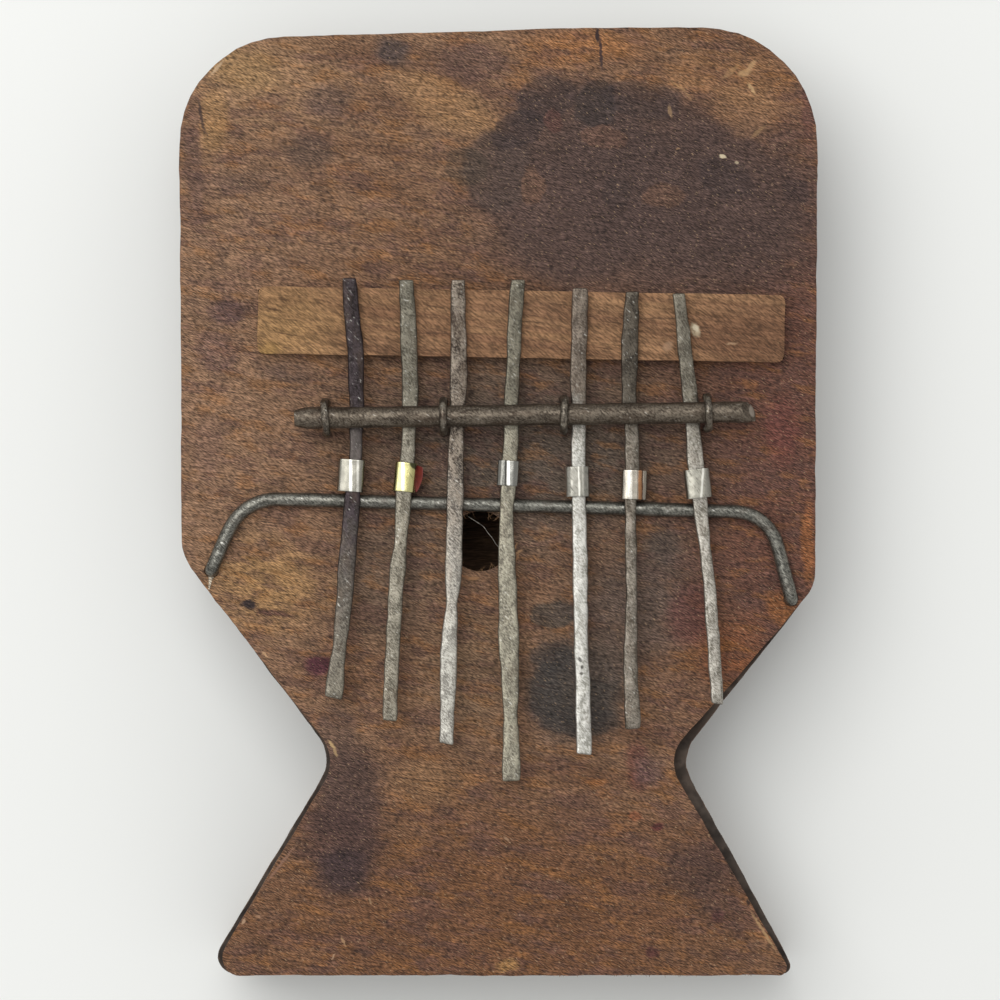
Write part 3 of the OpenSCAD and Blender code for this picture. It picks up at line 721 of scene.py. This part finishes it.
stripSettings = {
    "length": 105, "width": 13.4, "height": 3.2, "turn": -1.0, "alongCuts": 44, "acrossCuts": 6,
    "corner": 1.3, "cornerFrom": (0.49, 0.4), "cornerSteps": 4, "edge": 0.45, "edgeSteps": 3, "sharp": 50,
    "steepest": 0.1, "flattest": 0.95, "dents": [(6, 0.25, "Y"), (2, 0.18, "X"), (5, 0.12)],
}
stripWood = dict(
    boardWood, mid="795840", light="8e6c4d", edge="a98a68", grainTurn=-6, grainSize=(9, 0.4, 1.2),
    grainDepth=0.16, bandSize=(60, 2.2, 3), fibreTurn=-36, fibreDepth=0.44, stains=[], blots=[],
    patches=[("6c4d37", (10, 3, 3), -6, 4.0, (0.5, 0.64), (0, 0.3))],
    lines=[("3f2c20", (7, 0.28, 1), -7, 2.0, (0.65, 0.7), (0, 0.75)),
           ("b8946c", (1, 0.3, 1), -35, 1.5, (0.68, 0.76), (0, 0.5))],
    drift=[
        (-42, 35, 18, 12, 0.85, "91704a"), (50, 33, 24, 12, 0.85, "664834"),
        (10, 38, 20, 4, 0.4, "6f523d"), (-20, 30, 14, 3, 0.5, "6d503b"),
        (-46, 29.8, 5, 2.4, 0.5, "93743e")],
    marks=[
        # pale chip beside the seventh tine, scuffs, and the deeper lines of the grain
        (39.2, 34.2, 1.2, 1.9, 0.85, "b3a387", 25), (39.3, 34.6, 0.7, 1.0, 0.8, "cdc0a6", 25),
        (39, 33.9, 0.2, 1.2, 0.6, "7d6a52", 40), (46.4, 31.5, 1.5, 0.35, 0.6, "b09070", 5),
        (33.8, 31, 1.6, 1.2, 0.45, "a88a70", 40), (-44.9, 38.3, 3, 0.24, 0.75, "4a3423", -12),
        (-41.9, 33.3, 3.6, 0.24, 0.75, "4a3423", -10), (-43, 40.4, 1.6, 0.22, 0.7, "4a3423", -10),
        (-10, 33.5, 10, 0.25, 0.6, "4a3628", -1), (30, 36.5, 12, 0.22, 0.6, "4a3628", -1)])
del stripWood["plies"]


def makeStrip(settings):
    low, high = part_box("rear_bridge")
    centre = (low + high) / 2
    size = Vector([settings[key] for key in ("length", "width", "height")]) * mm
    bpy.ops.mesh.primitive_cube_add(size=1, location=centre, scale=size,
                                    rotation=(0, 0, radians(settings["turn"])))
    piece = startPiece("strip")

    def atCorner(middle, run):
        off = middle - centre
        alongFrom, acrossFrom = settings["cornerFrom"]
        atEnd = abs(off.x) > alongFrom * size.x and abs(off.y) > acrossFrom * size.y
        return atEnd and abs(run.z) > size.z / 2

    editOn(piece)
    pickParts(piece, "EDGE", lambda middle, run: abs(run.x) > size.x / 2)
    bpy.ops.mesh.subdivide(number_cuts=settings["alongCuts"])
    pickParts(piece, "EDGE", lambda middle, run: abs(run.y) > size.y / 2)
    bpy.ops.mesh.subdivide(number_cuts=settings["acrossCuts"])
    pickParts(piece, "EDGE", atCorner)
    bpy.ops.mesh.bevel(offset=settings["corner"] * mm, segments=settings["cornerSteps"])
    editOff()
    addDents(piece, settings)
    roundEdges(piece, settings)
    dress(piece, "rearBridgeStrip", makeWood("oiled pale strip wood, sawn", stripWood))
    markWorn(piece, settings)
    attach(piece, "box")
    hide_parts("rear_bridge")


makeStrip(stripSettings)
print("rear bridge made")


# Front bridge: a round iron rod, bent at both ends and driven into the board

rodSettings = {
    "diameter": 2.8, "leftCorner": -51.1, "rightCorner": 54.0, "leftBend": 10.5, "rightBend": 9.0,
    "leftLeg": 15.8, "rightLeg": 18.0, "leftLean": 23.5, "rightLean": 14.5, "elbow": 1.6, "spike": 8.0,
    "spikeEnd": 0.9, "gap": 0.25, "step": 2.5, "sides": 16, "elbowSteps": 6, "bendSteps": 9,
    "swell": (0.95, 1.03), "seed": 11, "dents": [(3, 0.16)],
}
rodIron = {
    "dark": "474641", "light": "87857c", "rust": "574c44", "bright": "d6d4cb", "patchSize": (3, 1.2, 1.2),
    "gritSize": (0.8, 0.22, 0.22), "gritTurn": -40, "rustSize": (6, 3, 3), "nickSize": (1.6, 0.5, 0.5),
    "rusted": 0.4, "nicks": 0.7, "rough": 0.42, "metal": 0.9, "relief": 0.05,
}


def makeRod(settings):
    radius = settings["diameter"] * mm / 2
    first, last = (Vector(joints[f"tine_{n}_pluck"]["pos_m"]) for n in (1, 7))
    along = (last - first).normalized()
    height = cadHeight["tine"] - settings["gap"] * mm - radius

    def onLine(x):
        spot = first + along * ((x * mm - first.x) / along.x)
        return Vector((spot.x, spot.y, height))

    # one end's leg: its direction, corner and end, the turn and run of its bend, and its side
    def endOf(name, sign):
        lean = settings[name + "Lean"]
        leg = Vector((sin(radians(sign * lean)), cos(radians(lean)), 0))
        corner = onLine(settings[name + "Corner"])
        end = corner - leg * settings[name + "Leg"] * mm
        turn = 90 - lean - sign * tilt
        run = settings[name + "Bend"] * mm * tan(radians(turn / 2))
        return leg, corner, end, turn, run, Vector((leg.y, -leg.x, 0))

    up = Vector((0, 0, 1))
    tilt = degrees(atan2(along.y, along.x))
    leftUp, leftCorner, leftEnd, leftTurn, leftRun, leftSide = endOf("left", 1)
    rightUp, rightCorner, rightEnd, rightTurn, rightRun, rightSide = endOf("right", -1)
    elbow = settings["elbow"] * mm
    point = settings["spikeEnd"] * mm / 2
    spike = settings["spike"] * mm - elbow
    acrossRod = Vector((along.y, -along.x, 0))
    leftBendStart = leftCorner - leftUp * leftRun
    leftBendEnd = leftCorner + along * leftRun
    rightBendStart = rightCorner - along * rightRun
    rightBendEnd = rightCorner - rightUp * rightRun
    foot = leftEnd - up * settings["spike"] * mm
    piece = startRound("rod", settings["sides"], point, foot)
    elbowSteps, bendSteps = settings["elbowSteps"], settings["bendSteps"]

    def walk(run):
        pieces = max(2, round(run.length / (settings["step"] * mm)))
        carryAlong([("straight", run / pieces)] * pieces)

    carryAlong([
        ("taper", up * spike, radius / point, foot + up * spike),
        ("bend", elbowSteps, 90, leftEnd - up * elbow + leftUp * elbow, leftSide),
    ])
    walk(leftBendStart - (leftEnd + leftUp * elbow))
    carryAlong([("bend", bendSteps, leftTurn, leftBendStart + leftSide * settings["leftBend"] * mm, up)])
    hammerAlong(leftBendEnd, rightBendStart - leftBendEnd, settings, size=1, lastSize=1)
    carryAlong([("bend", bendSteps, rightTurn, rightBendStart + acrossRod * settings["rightBend"] * mm, up)])
    walk((rightEnd + rightUp * elbow) - rightBendEnd)
    carryAlong([
        ("bend", elbowSteps, -90, rightEnd - up * elbow + rightUp * elbow, rightSide),
        ("taper", up * -spike, point / radius, rightEnd - up * settings["spike"] * mm),
    ])
    tidyNormals(piece)
    smoothOut(piece, levels=2)
    addDents(piece, settings)
    dress(piece, "frontBridgeRod", makeIron("worn wrought iron rod, hammered", rodIron),
          smooth=60)
    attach(piece, "box")
    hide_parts("front_bridge")


makeRod(rodSettings)
print("front bridge made")


# Pressure bar: a forged round bar with a worn left end and a chiselled right end

barSettings = {
    "diameter": 4.4, "turn": 0.8, "step": 2.2, "sides": 20, "leftSize": 0.72, "rightSize": 0.86,
    "swell": (0.95, 1.02), "seed": 23, "cutTurn": 35, "cutSlant": 0.35, "cutBack": 1.2,
    "edge": 0.35, "edgeSteps": 2, "sharp": 35, "dents": [(4, 0.24), (2.2, 0.14, "NORMAL", "VORONOI")],
}
barIron = dict(
    rodIron, dark="3c342c", light="756b5e", rust="4c3e33", bright="b4aca0", patchSize=(4, 1.6, 1.6),
    gritSize=(0.7, 0.22, 0.22), rustSize=(7, 3, 3), rusted=0.5, nicks=0.6, rough=0.5, metal=0.85,
    relief=0.06, marks=[(50.3, 17.9, 0.7, 1.5, 0.8, "b3aa9d", 12)])   # fresh metal where the end was cut


def makeBar(settings):
    low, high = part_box("pressure_bar")
    middle = (low + high) / 2
    turn = radians(settings["turn"])
    along = Vector((cos(turn), sin(turn), 0))
    length = (high.x - low.x) / cos(turn)
    radius = settings["diameter"] * mm / 2
    start = middle - along * length / 2
    piece = startRound("bar", settings["sides"], radius, start, (0, pi / 2, turn))
    size = settings["leftSize"]
    bpy.ops.transform.resize(value=(size,) * 3, center_override=start)
    at = hammerAlong(start, along * length, settings, size, settings["rightSize"])
    # the right end is cut across by a chisel
    bpy.ops.mesh.select_all(action="SELECT")
    cut = radians(settings["cutTurn"])
    bpy.ops.mesh.bisect(plane_co=at - along * settings["cutBack"] * mm, use_fill=True, clear_outer=True,
                        plane_no=(cos(cut), settings["cutSlant"], sin(cut)))
    tidyNormals(piece)
    roundEdges(piece, settings)
    smoothOut(piece, levels=2)
    addDents(piece, settings)
    dress(piece, "pressureBarRod", makeIron("forged iron bar, rust brown", barIron),
          smooth=60)
    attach(piece, "box")
    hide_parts("pressure_bar")


makeBar(barSettings)
print("pressure bar made")


# Wire ties: one bent loop, copied to the four places along the bar

tieSettings = {
    "wire": 1.6, "radius": 3.175, "clinchRadius": 1.3, "clinch": 5.0, "sides": 12, "footSteps": 5,
    "topSteps": 14, "leanFrom": -0.2, "dents": [(1.5, 0.12)],
    "leans": [-0.1, -0.025, 0.0375, -0.0625],    # turn of each loop's top, radians
}
tieIron = dict(barIron, dark="38322c", light="857d70", bright="d8d4c8", nicks=0.9, rough=0.35, marks=[])


def makeTies(settings):
    wire = settings["wire"] * mm / 2
    radius = settings["radius"] * mm
    bend = settings["clinchRadius"] * mm
    low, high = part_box("wire_tie_1")
    barLow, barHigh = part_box("pressure_bar")
    top = (barLow.z + barHigh.z) / 2    # height of the bar's middle
    foot = low.z + wire + bend          # height where the legs start to bend over
    leg = top - foot
    tail = settings["clinch"] * mm
    up = Vector((0, 0, 1))
    right = Vector((1, 0, 0))
    start = Vector((0, -radius - bend - tail, -leg - bend))
    loop = startRound("tie", settings["sides"], wire, start, (pi / 2, 0, 0))
    footSteps = settings["footSteps"]
    carryAlong([
        ("straight", Vector((0, tail, 0))),
        ("bend", footSteps, -90, Vector((0, -radius - bend, -leg)), right),
        ("straight", up * leg / 2),
        ("straight", up * leg / 2),
        ("bend", settings["topSteps"], 180, Vector((0, 0, 0)), right),
        ("straight", up * -leg / 2),
        ("straight", up * -leg / 2),
        ("bend", footSteps, -90, Vector((0, radius + bend, -leg)), right),
        ("straight", Vector((0, tail, 0))),
    ])
    tidyNormals(loop)
    smoothOut(loop, levels=2)
    material = makeIron("soft iron tie wire", tieIron)
    for n, lean in enumerate(settings["leans"], 1):
        low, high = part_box(f"wire_tie_{n}")
        pickOnly(loop)
        bpy.ops.object.duplicate()
        piece = bpy.context.object
        piece.location = ((low.x + high.x) / 2, (low.y + high.y) / 2, top)
        editOn(piece)
        # the top of the loop leans over
        pickParts(piece, "VERT", lambda at, normal: at.z > settings["leanFrom"] * radius)
        bpy.ops.transform.rotate(value=lean, orient_axis="Z", center_override=piece.location)
        editOff()
        dress(piece, f"wireTie{n}", material, smooth=60)
        addDents(piece, settings)
        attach(piece, "box")
        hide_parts(f"wire_tie_{n}")
    bpy.data.objects.remove(loop)


makeTies(tieSettings)
print("wire ties made")


# Tines: one hammered strip each, held at the bar and free in front of the rod

tineSettings = {
    "step": 2.0, "uneven": 0.16, "swell": 0.14, "thick": 0.08, "seed": 100, "edge": 0.36, "edgeSteps": 2,
    "sharp": 50, "dents": [(1.6, 0.14), (0.5, 0.06)], "blendReach": 2.0,
    "tipTurn": [14, 4, 10, -2, 6, -4, 8],
    "rowGap": 0.05,      # CAD points nearer along the strip than this are one row, mm
    "fullRow": 1,        # a row wider than this has both edges, mm
}
tineIron = {
    "rust": "5a4a3c", "bright": "d8d6cc", "patchSize": (1.4, 3.2, 1.4), "gritSize": (0.6, 0.16, 0.16),
    "gritTurn": -45, "rustSize": (3, 7, 3), "nickSize": (1.2, 0.4, 0.4), "rusted": 0.25, "nicks": 0.5,
    "rough": 0.42, "metal": 0.85, "relief": 0.05, "changeOver": 6, "changeWave": 30,
}
# each tine's iron in front, the darker iron of its heel, and where along it one changes into the other
toneNames = ("dark", "light", "heelDark", "heelLight", "changeAt")
tineTones = [
    ("575148", "8b8575", "1e1918", "40383a", -25), ("4f4a40", "8d8779", "403c33", "757063", 20),
    ("736f68", "b5b2a8", "2a211b", "8b8073", -10), ("5a554b", "95907f", "403c34", "757062", 18),
    ("828077", "c4c2bb", "463d35", "7d7266", 15), ("484239", "857d72", "302b25", "5c554b", 16),
    ("645f55", "aaa59b", "464138", "7d776a", 16),
]
tineWear = {
    1: {"changeOver": 24, "nicks": 0.4, "marks": [(-28.7, 11.1, 2.4, 5, 0.4, "6b655f")]},   # rubbed bare
    3: {"changeOver": 18},
    5: {"marks": [
        (16.2, -31.4, 0.4, 0.7, 0.8, "3c3934", 20), (16.6, -32.9, 0.35, 0.5, 0.8, "3c3934"),
        (16.5, -34.2, 0.5, 0.4, 0.8, "45423c"), (16.1, -44.1, 0.35, 0.35, 0.7, "504d46")]},
}


# straight-line value between listed places, which run from high y to low
def valueAt(line, y):
    for (before, first), (after, last) in zip(line, line[1:]):
        if before >= y >= after:
            return first + (last - first) * (before - y) / (before - after)
    return line[-1][1]


# the left and right edges and the under and upper faces of a strip, read from its CAD nodes
def stripLines(n):
    points = [v.co for part in ("heel", "reed") for v in nodes[f"tine_{n}_{part}"].data.vertices]
    rows = []
    for point in sorted(points, key=lambda p: -p.y):
        if not rows or rows[-1][0].y - point.y > tineSettings["rowGap"] * mm:
            rows.append([])
        rows[-1].append(point)
    spans = [(row[0].y, min(p.x for p in row), max(p.x for p in row)) for row in rows]
    # a row may hold a corner of one edge only, so each edge is kept as its own line
    full = tineSettings["fullRow"] * mm
    middle = [(y, (left + right) / 2) for y, left, right in spans if right - left > full]
    left = [(y, x) for y, x, other in spans if x < valueAt(middle, y)]
    right = [(y, x) for y, other, x in spans if x > valueAt(middle, y)]
    under = [(row[0].y, min(p.z for p in row)) for row in rows]
    upper = [(row[0].y, max(p.z for p in row)) for row in rows]
    return left, right, under, upper


def makeTine(n):
    settings = tineSettings
    chance = random.Random(settings["seed"] + n)
    lines = stripLines(n)
    start = lines[0][0][0]
    length = start - lines[0][-1][0]
    count = round(length / (settings["step"] * mm))
    uneven, thick, swell = (settings[key] * mm for key in ("uneven", "thick", "swell"))
    stations = []
    for i in range(count + 1):
        y = start - length * i / count
        left, right, low, high = (valueAt(line, y) for line in lines)
        stations.append((y, left - swell + chance.uniform(-uneven, uneven),
                         right + swell + chance.uniform(-uneven, uneven),
                         low + chance.uniform(0, thick), high + chance.uniform(-thick, thick / 2)))
    y, left, right, low, high = stations[0]
    at = Vector(((left + right) / 2, y, (low + high) / 2))
    wide, thick = right - left, high - low
    bpy.ops.mesh.primitive_plane_add(size=1, location=at, rotation=(pi / 2, 0, 0))
    piece = startPiece(f"tine{n}", (wide, thick, 1))
    editAll(piece)
    for y, left, right, low, high in stations[1:]:
        middle = Vector(((left + right) / 2, y, (low + high) / 2))
        pushOut(middle - at)
        bpy.ops.transform.resize(value=((right - left) / wide, 1, (high - low) / thick),
                                 center_override=middle)
        at, wide, thick = middle, right - left, high - low
    bpy.ops.transform.rotate(value=radians(settings["tipTurn"][n - 1]), orient_axis="Z",
                             center_override=at)
    tidyNormals(piece)
    roundEdges(piece, settings)
    smoothOut(piece, levels=2)
    addDents(piece, settings)
    iron = {**tineIron, **dict(zip(toneNames, tineTones[n - 1])), **tineWear.get(n, {})}
    dress(piece, f"tine{n}", makeIron(f"hammered iron tine {n}", iron), smooth=60)
    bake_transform(piece)
    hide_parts(f"tine_{n}_heel", f"tine_{n}_reed")


for n in range(1, 8):
    makeTine(n)
print("tines made")


# Buzzer rings: strips cut from cans, rolled round the tines with a lapped seam

tinplate = {
    "clean": "bcb9ae", "dull": "8a877d", "scuffed": 0.4, "scratched": 0.3, "rough": 0.24, "metal": 1.0,
}
ringSettings = {
    "sheet": 0.18, "height": 3.4, "lap": 0.09, "lapDrop": 1.25, "lapShare": 0.25, "steps": 44, "square": 3.6,
    "facet": 0.014, "facets": 9, "rows": 7, "edge": 0.06, "edgeSteps": 2, "sharp": 50,
    "dents": [(2.5, 0.12)], "bandLength": 9,
}


# painted highlight and shade bands, and print, along a ring's bent sheet: each at x, half width, strength,
# colour
def paintedLightAndPrintBandsOf(y, turn, bands):
    tall = ringSettings["bandLength"]
    return [(x, y, wide, tall, strength, tint, turn) for x, wide, strength, tint in bands]


# size of each ring, where its seam lies round it, and its finish, whose marks paint highlights and shade
rings = {
    1: {"wide": 5.4, "long": 6.4, "seam": -60, "finish": dict(
        tinplate, clean="989589", marks=paintedLightAndPrintBandsOf(4.9, 0, [
            (-31.7, 1.1, 0.5, "918e85"), (-29.4, 0.45, 0.85, "ebe9e0"), (-28.6, 0.3, 0.5, "9d9a90"),
            (-28, 0.3, 0.7, "e2dfd5"), (-27.2, 0.5, 0.6, "88857b")]))},
    2: {"wide": 4.4, "long": 5.8, "seam": -40, "finish": dict(
        tinplate, clean="c5bf88", dull="9c9566", scuffed=0.3, marks=[
            # painted highlight and shade bands, and a dark mark painting the shade in the cut top right
            # corner
            (-20.6, 5, 0.6, 9, 0.5, "8f8a5e"), (-19, 5, 0.5, 9, 0.8, "f2eec9"),
            (-18.2, 4.4, 0.14, 4, 0.5, "a59d66"), (-16.8, 4.8, 0.5, 9, 0.5, "a39b66"),
            (-16.9, 7.2, 1.5, 0.7, 0.95, "3a3d2a", -48), (-17.4, 5.2, 0.12, 1, 0.6, "4f4c35", 30)])},
    4: {"wide": 4.4, "long": 5.0, "seam": 60, "finish": dict(
        tinplate, clean="989790", dull="6a6964", marks=paintedLightAndPrintBandsOf(5.9, 0, [
            (0.3, 1, 0.6, "75746e"), (1.4, 0.22, 0.9, "2f2e2c"), (2, 0.3, 0.95, "f4f4ee"),
            (3.4, 0.6, 0.5, "777670")]))},
    5: {"wide": 4.7, "long": 6.0, "seam": -80, "finish": dict(
        tinplate, clean="a8a59b", dull="6c6a62", scuffed=0.5, scratched=1.0, rough=0.3,
        marks=paintedLightAndPrintBandsOf(4, 2, [
            (13.4, 0.3, 0.7, "e6e4da"), (16, 0.22, 0.8, "e6e4da"), (16.5, 0.2, 0.7, "76746b"),
            (17.3, 0.5, 0.5, "85837a")]))},
    6: {"wide": 5.2, "long": 5.8, "seam": 30, "finish": dict(
        tinplate, clean="b3ac9f", scuffed=0.2, marks=paintedLightAndPrintBandsOf(3, 0, [
            (24.9, 0.4, 0.5, "9a948a"), (26.2, 0.5, 0.8, "f6f1e6"), (26.9, 0.16, 0.4, "a39b8e"),
            # the brown band at x 28.2 is print
            (29.3, 1, 0.7, "8d8376"), (28.2, 0.55, 0.9, "94653f"), (28.6, 0.16, 0.8, "4a3020"),
            (27.7, 0.12, 0.6, "63493a")]))},
    7: {"wide": 5.2, "long": 5.8, "seam": -70, "finish": dict(
        tinplate, clean="a7a498", dull="716e65", scuffed=0.5, scratched=1.0, rough=0.3,
        marks=paintedLightAndPrintBandsOf(3.2, -4, [
            (40.5, 0.3, 0.7, "e4e2d8"), (41.7, 0.9, 0.6, "85827a"), (37.2, 0.4, 0.4, "8b887e")]))},
}


def makeRing(n, ring):
    settings = ringSettings
    low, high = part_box(f"buzzer_ring_{n}")
    axis = Vector(joints[f"ring_{n}_slide"]["axis"])
    lean = atan2(axis.x, axis.y)
    wide = ring["wide"] * mm / 2
    length = ring["long"] * mm
    tall = settings["height"] * mm / 2
    sheet = settings["sheet"] * mm
    power = 2 / settings["square"]

    def onSection(share):
        angle = radians(ring["seam"]) + share * 2 * pi
        shrink = sheet * settings["lapDrop"] * max(0.0, 1 - share / settings["lapShare"])
        x, z = cos(angle), sin(angle)
        facet = 1 - settings["facet"] * (1 + cos(settings["facets"] * angle + n))
        return Vector(((wide - shrink) * copysign(abs(x) ** power, x) * facet, 0,
                       (tall - shrink) * copysign(abs(z) ** power, z) * facet))

    count = settings["steps"]
    total = 1 + settings["lap"]
    path = [onSection(total * i / count) for i in range(count + 1)]
    first = path[1] - path[0]
    bpy.ops.mesh.primitive_plane_add(size=1, location=(path[0] + path[1]) / 2,
                                     rotation=(0, -atan2(first.z, first.x), 0))
    piece = startPiece(f"ring{n}", (first.length, length, 1))
    editOn(piece)
    pickParts(piece, "EDGE", lambda middle, run: (middle - path[1]).length < closeness["same"] * mm)
    for before, after in zip(path[1:], path[2:]):
        bpy.ops.mesh.extrude_edges_move(TRANSFORM_OT_translate={"value": after - before})
    tidyNormals(piece)
    editOn(piece)
    pickParts(piece, "EDGE", lambda middle, run: abs(run.y) > length / 2)
    bpy.ops.mesh.subdivide(number_cuts=settings["rows"])
    editOff()
    applyModifier(piece, "SOLIDIFY", thickness=sheet, offset=-1)
    roundEdges(piece, settings)
    smoothOut(piece, levels=1)
    addDents(piece, settings)
    piece.location = (low + high) / 2
    if n == 2:
        # the box of this one also holds its loose end
        piece.location.x = low.x + wide * cos(lean) + length / 2 * abs(sin(lean))
    piece.rotation_euler = (0, 0, -lean)
    dress(piece, f"buzzerRing{n}", makeSheet(f"rolled sheet of ring {n}", ring["finish"]),
          smooth=50)
    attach(piece, f"buzzer_ring_{n}")
    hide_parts(f"buzzer_ring_{n}")


looseEnd = {
    "at": (-16.7, 4.5, 35.1), "length": 5.9, "reach": 1.9, "rise": 20, "curl": 0.06, "sheet": 0.25,
    "steps": 6, "firstCut": 0.97, "nextCut": 0.05,
    "narrowTo": 0.35,    # the outer edge narrows towards this share of the length behind the middle
    "finish": dict(tinplate, clean="74261d", dull="42181a", scuffed=0.5, rough=0.4, metal=0.2),
}


def makeLooseEnd(settings):
    step = settings["reach"] * mm / settings["steps"]
    at = Vector(settings["at"]) * mm
    bpy.ops.mesh.primitive_plane_add(size=1, location=at + Vector((step / 2, 0, 0)))
    piece = startPiece("looseEnd", (step, settings["length"] * mm, 1))
    editOn(piece)
    pickParts(piece, "EDGE", lambda middle, run: abs(middle.x - at.x - step) < closeness["same"] * mm)
    edge = at + Vector((step, 0, 0))
    backwards = Vector((0, settings["length"] * settings["narrowTo"] * mm, 0))
    for i in range(1, settings["steps"]):
        lift = radians(settings["rise"]) + i * settings["curl"]
        move = Vector((cos(lift), 0, sin(lift))) * step
        edge = edge + move
        # each strip is cut shorter than the one before, which rounds the outer edge to a leaf
        bpy.ops.mesh.extrude_edges_move(TRANSFORM_OT_translate={"value": move})
        shorter = settings["firstCut"] - settings["nextCut"] * i
        bpy.ops.transform.resize(value=(1, shorter, 1), center_override=edge + backwards)
    tidyNormals(piece)
    applyModifier(piece, "SOLIDIFY", thickness=settings["sheet"] * mm, offset=0)
    smoothOut(piece, levels=2)
    dress(piece, "buzzerRing2LooseEnd", makeSheet("red printed sheet", settings["finish"]),
          smooth=50)
    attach(piece, "buzzer_ring_2")


for n, ring in rings.items():
    makeRing(n, ring)
makeLooseEnd(looseEnd)
print("buzzer rings made")


# Studio: pale floor, a broad soft lamp from the upper left, and the camera straight above

studio = {
    "floor": "eaebe8", "floorRough": 0.8, "floorSize": 6, "floorDrop": 0.2,
    "lampAt": (-0.29, 0.34, 1.0), "lampSize": 0.9, "lampPower": 6.7, "sky": "ffffff", "skyPower": 0.68,
    "cameraHeight": 0.9, "viewWidth": 200, "viewMiddle": (0.3, 0.3), "sensor": 36,
}
bpy.ops.mesh.primitive_plane_add(size=studio["floorSize"], location=(0, 0, -studio["floorDrop"] * mm))
floor = bpy.context.object
floor.name = "floor"
material, tree, shader, place = newMaterial("pale painted floor")
setInputs(tree, shader, {"Base Color": hexColour(studio["floor"]), "Roughness": studio["floorRough"]})
floor.data.materials.append(material)
aim = Vector((0, 0, cadHeight["deck"])) - Vector(studio["lampAt"])
bpy.ops.object.light_add(type="AREA", location=studio["lampAt"],
                         rotation=aim.to_track_quat("-Z", "Y").to_euler())
lamp = bpy.context.object
lamp.data.size = studio["lampSize"]
lamp.data.energy = studio["lampPower"]
world = bpy.context.scene.world or bpy.data.worlds.new("studio")
bpy.context.scene.world = world
world.use_nodes = True
setInputs(world.node_tree, world.node_tree.nodes["Background"], {
    "Color": hexColour(studio["sky"]), "Strength": studio["skyPower"]})
sideways, ahead = studio["viewMiddle"]
bpy.ops.object.camera_add(
    location=(sideways * mm, ahead * mm, cadHeight["deck"] + studio["cameraHeight"]), rotation=(0, 0, 0))
camera = bpy.context.object
camera.data.sensor_width = studio["sensor"]
camera.data.lens = studio["sensor"] * studio["cameraHeight"] / (studio["viewWidth"] * mm)
bpy.context.scene.camera = camera
bpy.context.scene.view_settings.view_transform = "Standard"
print("studio set")
